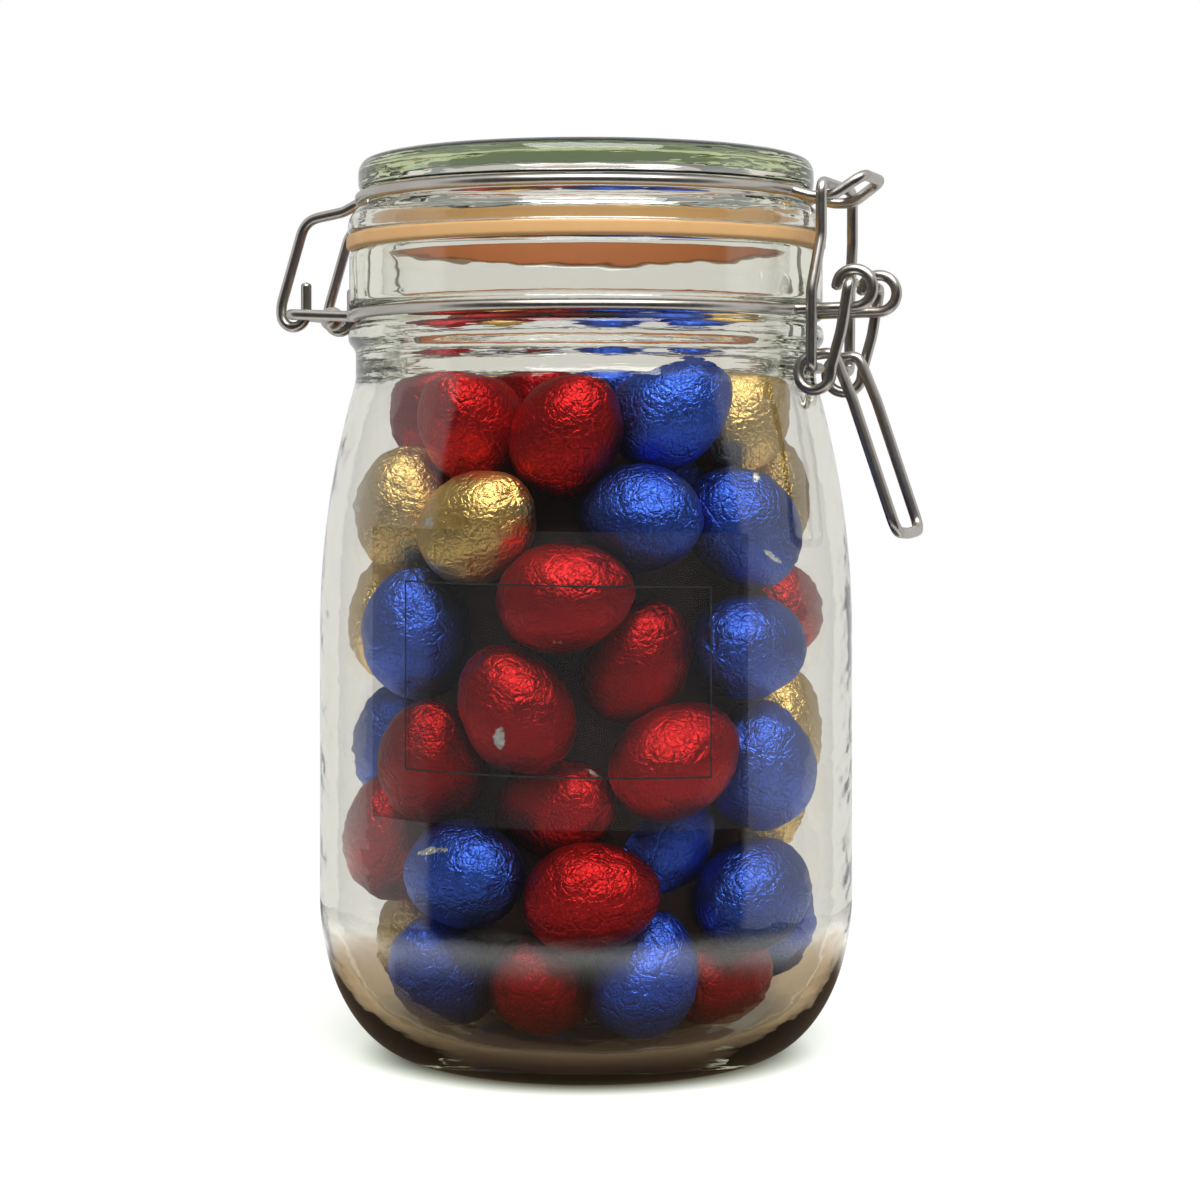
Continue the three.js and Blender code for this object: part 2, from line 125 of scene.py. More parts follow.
class GlassSettings(bpy.types.PropertyGroup):
    """Sizes and colour of the glass"""
    body_radius: FloatProperty(
        name="Body Radius", description="Outside of the straight wall",
        default=0.054, unit="LENGTH")
    wall: FloatProperty(
        name="Wall", description="Thickness of the straight wall", default=0.0036, unit="LENGTH")
    tint: FloatVectorProperty(
        name="Tint", description="Colour that thick glass takes on",
        default=(0.60, 0.78, 0.34), min=0.0, max=1.0, subtype="COLOR")
    tint_density: FloatProperty(
        name="Tint Density", description="How fast the tint builds up with depth", default=14.0)


class WireSettings(bpy.types.PropertyGroup):
    """Size and colour of the clasp's steel wire"""
    radius: FloatProperty(
        name="Wire Radius", description="Half the thickness of the wire",
        default=0.0011, unit="LENGTH")
    colour: FloatVectorProperty(
        name="Steel", description="Colour of the steel",
        default=(0.40, 0.37, 0.335), min=0.0, max=1.0, subtype="COLOR")


class EggSettings(bpy.types.PropertyGroup):
    """Sizes and foil colours of the eggs"""
    half_length: FloatProperty(
        name="Half Length", description="Half of an egg's length", default=0.0134, unit="LENGTH")
    radius: FloatProperty(
        name="Radius", description="Half of an egg's girth", default=0.0106, unit="LENGTH")
    seed: IntProperty(name="Seed", description="Start of the random creases", default=7)
    red: FloatVectorProperty(
        name="Red", description="Colour of the red foil",
        default=(0.50, 0.014, 0.016), min=0.0, max=1.0, subtype="COLOR")
    blue: FloatVectorProperty(
        name="Blue", description="Colour of the blue foil",
        default=(0.05, 0.12, 0.62), min=0.0, max=1.0, subtype="COLOR")
    gold: FloatVectorProperty(
        name="Gold", description="Colour of the gold foil",
        default=(0.80, 0.52, 0.18), min=0.0, max=1.0, subtype="COLOR")


class LabelSettings(bpy.types.PropertyGroup):
    """Place of the clear label and colour of the seal"""
    low: FloatProperty(
        name="Low Edge", description="Height of the film's low edge",
        default=0.0513, unit="LENGTH")
    high: FloatProperty(
        name="High Edge", description="Height of the film's top edge",
        default=0.1067, unit="LENGTH")
    line: FloatProperty(
        name="Line", description="Width of the printed line", default=0.00036, unit="LENGTH")
    seal: FloatVectorProperty(
        name="Seal", description="Colour of the rubber seal",
        default=(0.46, 0.27, 0.105), min=0.0, max=1.0, subtype="COLOR")


class StudioSettings(bpy.types.PropertyGroup):
    """Lights, floor and camera"""
    distance: FloatProperty(
        name="Camera Distance", description="From the jar's axis to the camera",
        default=0.6, unit="LENGTH")
    height: FloatProperty(
        name="Camera Height", description="Height of the camera", default=0.12, unit="LENGTH")
    lens: FloatProperty(
        name="Lens", description="Focal length in millimetres",
        default=88.3, subtype="DISTANCE_CAMERA")
    key_power: FloatProperty(
        name="Key Power", description="Power of the soft light overhead",
        default=8.0, unit="POWER")
    floor: FloatVectorProperty(
        name="Floor", description="Colour of the floor",
        default=(0.90, 0.90, 0.89), min=0.0, max=1.0, subtype="COLOR")


# ---- surfaces ----

def rounded_path(points, cuts, steps=5):
    """A path of straight runs whose corners are replaced by curves.

    Each corner C is cut off at A and B, a given length before and after it, and replaced by
    the parabola (1-t)^2 A + 2t(1-t) C + t^2 B.
    """
    points = np.asarray(points, float)
    corners = points[1:-1]
    before, after = points[:-2] - corners, points[2:] - corners
    length_before = np.linalg.norm(before, axis=1, keepdims=True)
    length_after = np.linalg.norm(after, axis=1, keepdims=True)
    cuts = np.broadcast_to(np.asarray(cuts, float), len(corners))[:, None]
    start = corners + before / length_before * np.minimum(cuts, 0.48 * length_before)
    end = corners + after / length_after * np.minimum(cuts, 0.48 * length_after)
    t = np.linspace(0, 1, steps)[None, :, None]
    curves = ((1 - t) ** 2 * start[:, None] + 2 * t * (1 - t) * corners[:, None]
              + t ** 2 * end[:, None])
    return np.vstack([points[:1], curves.reshape(-1, points.shape[1]), points[-1:]])


def held(profile):
    """The profile with a point close to each end of its long runs, which stay flat to the eye.

    A run from A to B in the unit direction d is given the points A + h d and B - h d.
    """
    run = np.diff(profile, axis=0)
    length = np.linalg.norm(run, axis=1, keepdims=True)
    step = HOLD_STEP * run / np.maximum(length, 1e-6)
    points = np.stack([profile[:-1], profile[:-1] + step, profile[1:] - step], 1)
    kept = np.hstack([length >= 0, length > LONG_RUN, length > LONG_RUN])
    return np.vstack([points[kept], profile[-1:]])


def bent_path(corners, bends):
    """A wire's path whose corner i is bent to the radius bends[i].

    A bend of radius r through an angle a starts r tan(a/2) before the corner.
    """
    corners = np.asarray(corners, float)
    runs = np.diff(corners, axis=0)
    runs /= np.linalg.norm(runs, axis=1, keepdims=True)
    turn = np.arccos(np.clip((runs[:-1] * runs[1:]).sum(1), -1, 1))
    return rounded_path(corners, np.asarray(bends) * np.tan(turn / 2), 9)


def even_path(points, spacing, softening):
    """The path through points at even steps, with kinks softened by a running average.

    The weights of the average are exp(-(d / softening)^2 / 2) at the distance d.
    """
    keep = np.r_[True, np.linalg.norm(np.diff(points, axis=0), axis=1) > 1e-6]
    points = points[keep]
    travelled = np.r_[0, np.cumsum(np.linalg.norm(np.diff(points, axis=0), axis=1))]
    places = np.linspace(0, travelled[-1], int(travelled[-1] / spacing) + 1)
    path = np.stack([np.interp(places, travelled, points[:, i]) for i in range(3)], 1)
    reach = int(3 * softening / spacing)
    weights = np.exp(-0.5 * (np.arange(-reach, reach + 1) * spacing / softening) ** 2)
    before = 2 * path[0] - path[reach:0:-1]
    after = 2 * path[-1] - path[-2:-reach - 2:-1]
    padded = np.vstack([before, path, after])
    return np.stack([np.convolve(padded[:, i], weights / weights.sum(), "valid")
                     for i in range(3)], 1)


def grid_faces(rows, columns, wrap_rows=False):
    """Four-sided faces of a grid of points that closes on itself from column to column."""
    row = np.arange(rows if wrap_rows else rows - 1)[:, None]
    column = np.arange(columns)[None, :]
    next_row, next_column = (row + 1) % rows, (column + 1) % columns
    faces = np.stack([row * columns + column, row * columns + next_column,
                      next_row * columns + next_column, next_row * columns + column], -1)
    return faces.reshape(-1, 4)


def turned(profile, sides, ripple=None):
    """A profile (r, z) turned about the axis: (r cos a, r sin a, z) for angles a all round.

    ripple(r, z, a) is added to the radius.
    """
    angles = np.linspace(0, 2 * math.pi, sides, endpoint=False)[None, :]
    radius, height = profile[:, :1], profile[:, 1:]
    reach = radius + (ripple(radius, height, angles) if ripple else 0 * angles)
    points = np.stack([reach * np.cos(angles), reach * np.sin(angles),
                       height + 0 * angles], -1)
    closed = bool(np.allclose(profile[0], profile[-1]))
    if closed:
        points = points[:-1]
    return points.reshape(-1, 3), grid_faces(len(points), sides, closed)


def tube(path, radius, reference):
    """A round bar along a path, with rounded ends.

    At each step, points lie at radius (cos f) N + radius (sin f) B round the path, where N is
    square to the path and to a fixed reference direction, and B is square to both. Towards
    an end the radius falls as sqrt(1 - (1 - s/e)^2) within a distance e of it.
    """
    tangent = np.gradient(path, axis=0)
    tangent /= np.linalg.norm(tangent, axis=1, keepdims=True)
    normal = np.cross(np.asarray(reference, float), tangent)
    normal /= np.linalg.norm(normal, axis=1, keepdims=True)
    binormal = np.cross(tangent, normal)
    travelled = np.r_[0, np.cumsum(np.linalg.norm(np.diff(path, axis=0), axis=1))]
    from_end = np.minimum(travelled, travelled[-1] - travelled)
    rounding = np.clip(from_end / (END_ROUNDING * radius), 0, 1)
    girth = (radius * np.sqrt(1 - (1 - rounding) ** 2))[:, None, None]
    angles = np.linspace(0, 2 * math.pi, WIRE_SIDES, endpoint=False)[None, :, None]
    points = path[:, None] + girth * (np.cos(angles) * normal[:, None]
                                      + np.sin(angles) * binormal[:, None])
    return points.reshape(-1, 3), grid_faces(len(path), WIRE_SIDES)


def label_bar(inner, outer, low, high, start, end):
    """A thin bar bent round the axis, between two radii, two heights and two angles.

    Its section's four corners are carried along the arc, and sink along it by the label's
    slope times the distance gone round.
    """
    steps = max(int(abs(end - start) / LABEL_STEP), 1) + 1
    angles = np.radians(np.linspace(start, end, steps))[:, None]
    section = np.array([[inner, low], [outer, low], [outer, high], [inner, high]])
    radius = section[None, :, 0]
    drop = LABEL_SLOPE * outer * (angles - math.radians(FRONT + LABEL_MIDDLE))
    points = np.stack([radius * np.cos(angles), radius * np.sin(angles),
                       section[None, :, 1] - drop], -1).reshape(-1, 3)
    ends = np.array([[0, 1, 2, 3], [4 * steps - 1, 4 * steps - 2, 4 * steps - 3, 4 * steps - 4]])
    return points, np.vstack([grid_faces(steps, 4), ends])


def joined(shapes):
    """Several (points, faces) as one."""
    starts = np.cumsum([0] + [len(points) for points, _ in shapes[:-1]])
    return (np.vstack([points for points, _ in shapes]),
            np.vstack([faces + start for (_, faces), start in zip(shapes, starts)]))


def add_piece(name, shape, material, replaced, attributes=None, smooth=True):
    """Makes a named mesh from points in millimetres and faces, and rides it on the jar.

    Seams and poles are merged and faces turned outwards. Each attribute is one value a point.
    """
    points, faces = shape
    mesh = bpy.data.meshes.new(name)
    mesh.from_pydata((points * MM).tolist(), [], faces.tolist())
    for key, values in (attributes or {}).items():
        attribute = mesh.attributes.new(key, "FLOAT", "POINT")
        attribute.data.foreach_set("value", values.astype(np.float32))
    shell = bmesh.new()
    shell.from_mesh(mesh)
    bmesh.ops.remove_doubles(shell, verts=shell.verts, dist=1e-7)
    bmesh.ops.recalc_face_normals(shell, faces=shell.faces)
    shell.to_mesh(mesh)
    shell.free()
    mesh.polygons.foreach_set("use_smooth", np.full(len(mesh.polygons), smooth))
    mesh.materials.append(material)
    piece = bpy.data.objects.new(name, mesh)
    bpy.context.scene.collection.objects.link(piece)
    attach(piece, "root")
    if replaced:
        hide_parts(replaced)
    return piece


# ---- materials ----

def add_node(tree, kind, place, inputs=None, **settings):
    """A shader node with its settings; an input is given a plain value or another node's output."""
    node = tree.nodes.new(kind)
    node.location = place
    for key, value in settings.items():
        setattr(node, key, value)
    for key, value in (inputs or {}).items():
        if isinstance(value, bpy.types.NodeSocket):
            tree.links.new(value, node.inputs[key])
        else:
            node.inputs[key].default_value = value
    return node


def math_node(tree, place, operation, *values, **settings):
    """The result of a Math node on plain numbers and other nodes' outputs."""
    return add_node(tree, "ShaderNodeMath", place, dict(enumerate(values)), operation=operation,
                    **settings).outputs[0]


def vector_node(tree, place, operation, inputs, result=0):
    """A result of a Vector Math node: 0 is its vector and 1 its number."""
    return add_node(tree, "ShaderNodeVectorMath", place, inputs,
                    operation=operation).outputs[result]


def ramp(tree, place, value, before, after, curve="LINEAR"):
    """A value carried from the range before to the range after, and held at its ends."""
    return add_node(tree, "ShaderNodeMapRange", place,
                    {"Value": value, "From Min": before[0], "From Max": before[1],
                     "To Min": after[0], "To Max": after[1]},
                    interpolation_type=curve).outputs["Result"]


def blended(tree, place, share, first, second):
    """Two colours mixed by a share: 0 is the first and 1 the second."""
    return add_node(tree, "ShaderNodeMix", place, {"Factor": share, "A": first, "B": second},
                    data_type="RGBA").outputs["Result"]


def noise(tree, place, vector, scale, detail, **inputs):
    """A noise texture's node."""
    return add_node(tree, "ShaderNodeTexNoise", place,
                    {"Vector": vector, "Scale": scale, "Detail": detail, **inputs})


def new_material(name, plain_inputs):
    """A material, its node tree and its shader, which is given plain values."""
    material = bpy.data.materials.new(name)
    material.use_nodes = True
    tree = material.node_tree
    shader = tree.nodes["Principled BSDF"]
    for key, value in plain_inputs.items():
        shader.inputs[key].default_value = value
    return material, tree, shader


def object_place(tree):
    """The place on the piece, in metres from the middle of the jar's base."""
    return add_node(tree, "ShaderNodeTexCoord", (-1300, 0)).outputs["Object"]


def raise_surface(tree, shader, height, strength, distance):
    """Feeds a height to the shader's normal through a Bump node."""
    bump = add_node(tree, "ShaderNodeBump", (-250, -250),
                    {"Height": height, "Strength": strength, "Distance": distance})
    tree.links.new(bump.outputs["Normal"], shader.inputs["Normal"])


def new_group(name, sockets):
    """An empty shader node group with (name, in or out, kind, default) sockets."""
    group = bpy.data.node_groups.new(name, "ShaderNodeTree")
    for label, way, kind, default in sockets:
        socket = group.interface.new_socket(name=label, in_out=way, socket_type=kind)
        if default is not None:
            socket.default_value = default
    return group, add_node(group, "NodeGroupInput", (-1100, 0)).outputs


def crumpled_foil_group():
    """Creases, sparkle, tone and tears that all three foils share."""
    name = "Crumpled Foil"
    if name in bpy.data.node_groups:
        return bpy.data.node_groups[name]
    group, given = new_group(name, [
        ("Foil", "INPUT", "NodeSocketColor", (0.6, 0.0, 0.0, 1.0)),
        ("Bare Metal", "INPUT", "NodeSocketColor", (0.8, 0.79, 0.76, 1.0)),
        ("Crease Size", "INPUT", "NodeSocketFloat", 1.0),
        ("Tone", "INPUT", "NodeSocketFloat", 0.5),
        ("Tear", "INPUT", "NodeSocketFloat", 0.0),
        ("Color", "OUTPUT", "NodeSocketColor", None),
        ("Roughness", "OUTPUT", "NodeSocketFloat", None),
        ("Height", "OUTPUT", "NodeSocketFloat", None),
    ])
    scaled = vector_node(group, (-1100, -200), "SCALE",
                         {0: object_place(group), "Scale": given["Crease Size"]})
    broad = noise(group, (-900, -600), scaled, 170.0, 6.0, Roughness=0.64, Distortion=0.4)
    bent = vector_node(group, (-900, -200), "MULTIPLY_ADD",
                       {0: broad.outputs["Color"], 1: (0.0022, 0.0022, 0.0022), 2: scaled})
    heights = []
    for scale, edge, lift in ((300.0, 0.15, 0.36), (800.0, 0.18, 0.24)):
        cells = add_node(group, "ShaderNodeTexVoronoi", (-700, -scale / 2),
                         {"Vector": bent, "Scale": scale}, feature="DISTANCE_TO_EDGE")
        heights.append(ramp(group, (-500, -scale / 2), cells.outputs["Distance"],
                            (0.0, edge), (0.0, lift), "SMOOTHSTEP"))
    grain = noise(group, (-700, -900), scaled, 1500.0, 3.0, Roughness=0.7)
    creases = math_node(group, (-300, -200), "ADD", *heights)
    rough = math_node(group, (-300, -450), "MULTIPLY_ADD", grain.outputs["Fac"], 0.40, creases)
    height = math_node(group, (-100, -300), "MULTIPLY_ADD", broad.outputs["Fac"], 2.3, rough)

    shade = ramp(group, (-500, 300), given["Tone"], (0.0, 1.0), (0.72, 1.22))
    toned = vector_node(group, (-300, 300), "SCALE", {0: given["Foil"], "Scale": shade})
    speck = ramp(group, (-500, 60), broad.outputs["Fac"], (0.30, 0.72), (0.0, 1.0))
    ragged = math_node(group, (-300, 60), "MULTIPLY", given["Tear"], speck)
    torn = ramp(group, (-100, 60), ragged, (0.22, 0.30), (0.0, 1.0))
    add_node(group, "NodeGroupOutput", (500, 0), {
        "Color": blended(group, (100, 300), torn, toned, given["Bare Metal"]),
        "Roughness": ramp(group, (100, -100), broad.outputs["Fac"], (0.3, 0.7), (0.29, 0.43)),
        "Height": height,
    })
    return group


def foil_material(name, colour, crease_size):
    """Coloured foil that takes its tone and tears from each egg's attributes."""
    material, tree, shader = new_material(name, {"Metallic": 1.0})
    tone = add_node(tree, "ShaderNodeAttribute", (-800, 100), attribute_name="tone")
    tear = add_node(tree, "ShaderNodeAttribute", (-800, -100), attribute_name="tear")
    foil = add_node(tree, "ShaderNodeGroup", (-500, 0), {
        "Foil": (*colour, 1.0), "Crease Size": crease_size,
        "Tone": tone.outputs["Fac"], "Tear": tear.outputs["Fac"],
    }, node_tree=crumpled_foil_group())
    tree.links.new(foil.outputs["Color"], shader.inputs["Base Color"])
    tree.links.new(foil.outputs["Roughness"], shader.inputs["Roughness"])
    raise_surface(tree, shader, foil.outputs["Height"], 0.62, 0.00045)
    return material


def pressed_glass_group():
    """The faint waves of pressed glass, drawn out round the jar, and streaks at its neck."""
    name = "Pressed Glass Waves"
    if name in bpy.data.node_groups:
        return bpy.data.node_groups[name]
    group, given = new_group(name, [
        ("Wave Size", "INPUT", "NodeSocketFloat", 1.0),
        ("Ring Stretch", "INPUT", "NodeSocketFloat", 4.0),
        ("Height", "OUTPUT", "NodeSocketFloat", None),
        ("Roughness", "OUTPUT", "NodeSocketFloat", None),
    ])
    place = object_place(group)
    stretch = add_node(group, "ShaderNodeCombineXYZ", (-1100, -400),
                       {0: 1.0, 1: 1.0, 2: given["Ring Stretch"]})
    drawn = vector_node(group, (-900, -200), "MULTIPLY", {0: place, 1: stretch.outputs[0]})
    scaled = vector_node(group, (-700, -200), "SCALE", {0: drawn, "Scale": given["Wave Size"]})
    waves = noise(group, (-500, 0), scaled, 55.0, 2.0)
    smears = noise(group, (-500, -300), scaled, 160.0, 5.0)
    level = add_node(group, "ShaderNodeSeparateXYZ", (-1100, 300), {0: place}).outputs["Z"]
    rise = ramp(group, (-900, 300), level, (0.130, 0.142), (0.0, 0.6))
    rim = ramp(group, (-900, 100), level, (0.1520, 0.1550), (1.0, 0.0))
    neck = math_node(group, (-700, 250), "MULTIPLY", rise, rim)
    ringed = vector_node(group, (-700, 500), "MULTIPLY", {0: place, 1: (1.0, 1.0, 14.0)})
    streaks = noise(group, (-500, 500), ringed, 45.0, 3.0)
    add_node(group, "NodeGroupOutput", (500, 0), {
        "Height": math_node(group, (-200, 200), "MULTIPLY_ADD",
                            streaks.outputs["Fac"], neck, waves.outputs["Fac"]),
        "Roughness": ramp(group, (-200, -300), smears.outputs["Fac"], (0.45, 0.8), (0.0, 0.05)),
    })
    return group


def glass_material(name, settings, wave_size, ring_stretch, bump_strength):
    """Clear glass with a green depth.

    Light that has left an egg or the floor passes straight through, so that what stands
    inside the jar stays bright. Light that the glass itself mirrors at a steep slant still
    bends on its way out.
    """
    material, tree, shader = new_material(name, {
        "Base Color": (1.0, 1.0, 1.0, 1.0), "IOR": 1.5, "Transmission Weight": 1.0})
    waves = add_node(tree, "ShaderNodeGroup", (-500, 0),
                     {"Wave Size": wave_size, "Ring Stretch": ring_stretch},
                     node_tree=pressed_glass_group())
    tree.links.new(waves.outputs["Roughness"], shader.inputs["Roughness"])
    raise_surface(tree, shader, waves.outputs["Height"], bump_strength, 0.0006)

    ray = add_node(tree, "ShaderNodeLightPath", (-900, 500)).outputs
    backfacing = add_node(tree, "ShaderNodeNewGeometry", (-900, 800)).outputs["Backfacing"]
    slant = add_node(tree, "ShaderNodeLayerWeight", (-900, 250), {"Blend": 0.5}).outputs["Facing"]
    direct = math_node(tree, (-450, 600), "MAXIMUM",
                       ray["Is Camera Ray"], ray["Is Transmission Ray"])
    steep = math_node(tree, (-700, 250), "GREATER_THAN", slant, STEEP_EXIT)
    untouched = math_node(tree, (-700, 450), "LESS_THAN", ray["Transparent Depth"], 0.5)
    inner = math_node(tree, (-450, 400), "MULTIPLY", untouched, steep)
    leaving = math_node(tree, (-250, 450), "MULTIPLY", backfacing, inner)
    mirrored = math_node(tree, (-100, 500), "MULTIPLY", ray["Is Glossy Ray"], leaving)
    seen = math_node(tree, (50, 550), "MAXIMUM", direct, mirrored)
    clear = add_node(tree, "ShaderNodeBsdfTransparent", (50, 250),
                     {"Color": (0.97, 0.98, 0.97, 1.0)})
    choice = add_node(tree, "ShaderNodeMixShader", (350, 300),
                      {"Fac": seen, 1: clear.outputs[0], 2: shader.outputs[0]})
    depth = add_node(tree, "ShaderNodeVolumeAbsorption", (350, 0),
                     {"Color": (*settings.tint, 1.0), "Density": settings.tint_density})
    output = tree.nodes["Material Output"]
    output.location = (600, 200)
    tree.links.new(choice.outputs[0], output.inputs["Surface"])
    tree.links.new(depth.outputs[0], output.inputs["Volume"])
    return material


def steel_material(settings):
    """Drawn steel wire: fine scratches and a slightly uneven shine."""
    material, tree, shader = new_material("Drawn Steel", {"Metallic": 1.0})
    place = object_place(tree)
    grain = noise(tree, (-850, 100), place, 900.0, 5.0)
    patches = noise(tree, (-850, -200), place, 120.0, 3.0)
    colour = blended(tree, (-500, 200), patches.outputs["Fac"],
                     (*settings.colour, 1.0), (0.55, 0.52, 0.48, 1.0))
    dull = ramp(tree, (-500, -100), grain.outputs["Fac"], (0.3, 0.7), (0.30, 0.35))
    tree.links.new(colour, shader.inputs["Base Color"])
    tree.links.new(dull, shader.inputs["Roughness"])
    raise_surface(tree, shader, grain.outputs["Fac"], 0.05, 0.0001)
    return material


def rubber_material(colour):
    """Soft orange rubber with a fine matt grain, and painted shade that darkens its inner face
    inside the rim.
    """
    material, tree, shader = new_material("Orange Rubber", {})
    place = object_place(tree)
    mottle = noise(tree, (-800, 0), place, 260.0, 4.0)
    mixed = blended(tree, (-450, 150), mottle.outputs["Fac"], (*colour, 1.0),
                    (colour[0] * 0.9, colour[1] * 0.82, colour[2] * 0.75, 1.0))
    across = vector_node(tree, (-800, 350), "MULTIPLY", {0: place, 1: (1.0, 1.0, 0.0)})
    reach = vector_node(tree, (-600, 350), "LENGTH", {0: across}, 1)
    # painted shade: the seal's inner face, inside the rim, is painted a darker orange
    inner = ramp(tree, (-400, 350), reach, (0.0417, 0.0425), (1.0, 0.0))
    shaded = blended(tree, (-200, 250), inner, mixed, (0.34, 0.10, 0.025, 1.0))
    dull = ramp(tree, (-450, -100), mottle.outputs["Fac"], (0.3, 0.7), (0.42, 0.58))
    tree.links.new(shaded, shader.inputs["Base Color"])
    tree.links.new(dull, shader.inputs["Roughness"])
    raise_surface(tree, shader, mottle.outputs["Fac"], 0.2, 0.0001)
    return material


def film_material():
    """Clear plastic film, a little hazier in soft patches."""
    material, tree, shader = new_material(
        "Clear Film", {"Base Color": (0.04, 0.04, 0.04, 1.0), "Specular IOR Level": 0.2})
    place = object_place(tree)
    haze = noise(tree, (-800, 0), place, 40.0, 3.0)
    veil = ramp(tree, (-450, 0), haze.outputs["Fac"], (0.3, 0.7), (0.06, 0.10))
    dull = ramp(tree, (-450, -250), haze.outputs["Fac"], (0.3, 0.7), (0.12, 0.22))
    tree.links.new(veil, shader.inputs["Alpha"])
    tree.links.new(dull, shader.inputs["Roughness"])
    return material


def ink_material():
    """Black ink that is slightly uneven."""
    material, tree, shader = new_material(
        "Black Ink", {"Roughness": 0.5, "Specular IOR Level": 0.1})
    place = object_place(tree)
    patchy = noise(tree, (-600, 0), place, 700.0, 3.0)
    black = ramp(tree, (-350, 0), patchy.outputs["Fac"], (0.0, 1.0), (0.004, 0.03))
    tree.links.new(black, shader.inputs["Base Color"])
    return material


def shade_material():
    """Painted shade for the hollow between the eggs: a rough brown that is nearly black."""
    material, tree, shader = new_material(
        "Shaded Hollow", {"Roughness": 0.9, "Specular IOR Level": 0.0})
    place = object_place(tree)
    mottle = noise(tree, (-600, 0), place, 90.0, 2.0)
    mixed = blended(tree, (-350, 0), mottle.outputs["Fac"],
                    (0.030, 0.014, 0.010, 1.0), (0.012, 0.009, 0.012, 1.0))
    tree.links.new(mixed, shader.inputs["Base Color"])
    return material


# ---- glass ----

def quarter(centre, reach):
    """A quarter of an ellipse from its lowest point to its side: c + (a sin t, -b cos t)."""
    t = np.linspace(0, math.pi / 2, QUARTER_STEPS)
    return np.stack([centre[0] + reach[0] * np.sin(t), centre[1] - reach[1] * np.cos(t)], 1)


def drawn_in(radius, end_radius, start, end):
    """A wall that draws in as a parabola: r - (r - r1) s^2 at the share s of the height."""
    share = np.linspace(0, 1, SHOULDER_STEPS)
    return np.stack([radius - (radius - end_radius) * share ** 2,
                     start + (end - start) * share], 1)


def jar_profile(body, wall):
    """Outside of the jar from the hollow under its base to the rim, and the inside back.

    The heel is a quarter of an ellipse and the shoulder a parabola, outside and inside.
    """
    inside = body - wall
    outside = np.vstack([
        [[0, 1.5], [14, 1.45], [23, 1.2], [28.5, 0.9], [31, 0.05], [33, 0]],
        quarter((BASE_FLAT, HEEL_HEIGHT), (body - BASE_FLAT, HEEL_HEIGHT)),
        drawn_in(body, NECK_RADIUS, SHOULDER_START, SHOULDER_END),
        [[NECK_RADIUS, 142], [48.4, 144], [48.1, 146.8], [45.7, 147.9], [45.7, 150.9],
         [48.1, 151.3], [48.1, 161.6], [47.3, RIM_TOP]],
    ])
    hollow = np.vstack([
        [[41.9, RIM_TOP], [MOUTH_RADIUS, 161.8], [MOUTH_RADIUS, 146]],
        drawn_in(inside, MOUTH_RADIUS, SHOULDER_START, INSIDE_NECK)[::-1],
        quarter((BASE_FLAT, FLOOR + INSIDE_HEEL_HEIGHT),
                (inside - BASE_FLAT, INSIDE_HEEL_HEIGHT))[::-1],
        [[20, FLOOR], [0, FLOOR + 0.1]],
    ])
    return held(rounded_path(np.vstack([outside, hollow]), 0.9, 4))


def inside_ripple(radius, height, angles):
    """Low waves on the inside of the wall, which mould-blown glass has.

    Three sines of the angle and the height are added, which fade out at both ends.
    """
    low, high = RIPPLE_SPAN
    on_inside = (radius < 50.6) & (radius > 30) & (height > low) & (height < high)
    waves = (np.sin(5 * angles + 0.09 * height) + 0.7 * np.sin(11 * angles - 0.13 * height + 1.0)
             + 0.5 * np.sin(3 * angles + 0.21 * height + 2.0))
    fade = (np.clip((height - low) / RIPPLE_FADE, 0, 1)
            * np.clip((high - height) / RIPPLE_FADE, 0, 1))
    return np.where(on_inside, 0.035 * waves * fade - 0.07 * fade, 0.0)


def lid_profile():
    """The lid from under its middle, out over the seal, round the wire groove and rim."""
    return held(rounded_path(np.array([
        [0, 177.2], [20, 177.1], [36, 176.9], [41.2, 176.6], [41.2, 168.3], [43.8, 168.3],
        [43.8, LID_SEAT], [48.4, LID_SEAT], [48.4, 168.1], [47.2, 170.3], [45.2, 171.6],
        [44.2, 171.9], [44.2, 174.2], [45.9, 174.5], [46.3, 175.4], [46.3, 178.7],
        [45.3, 180.5], [42.9, 181.3], [40.3, 181.1], [37.3, 180.6], [20, 180.4], [0, 180.4],
    ]), 0.9, 6))


class EGGJAR_OT_jar(bpy.types.Operator):
    """Make the jar's glass body"""
    bl_idname = "eggjar.jar"
    bl_label = "Jar"

    def execute(self, context):
        settings = context.scene.egg_jar_glass
        material = glass_material("Jar Glass", settings, 1.0, 2.5, 0.25)
        profile = jar_profile(settings.body_radius / MM, settings.wall / MM)
        shape = turned(profile, JAR_SIDES, inside_ripple)
        add_piece("jar_body", shape, material, "jar_glass")
        return {"FINISHED"}


class EGGJAR_OT_lid(bpy.types.Operator):
    """Make the glass lid"""
    bl_idname = "eggjar.lid"
    bl_label = "Lid"

    def execute(self, context):
        settings = context.scene.egg_jar_glass
        material = glass_material("Lid Glass", settings, 1.4, 5.0, 0.3)
        add_piece("jar_lid", turned(lid_profile(), LID_SIDES), material, "lid_glass")
        return {"FINISHED"}


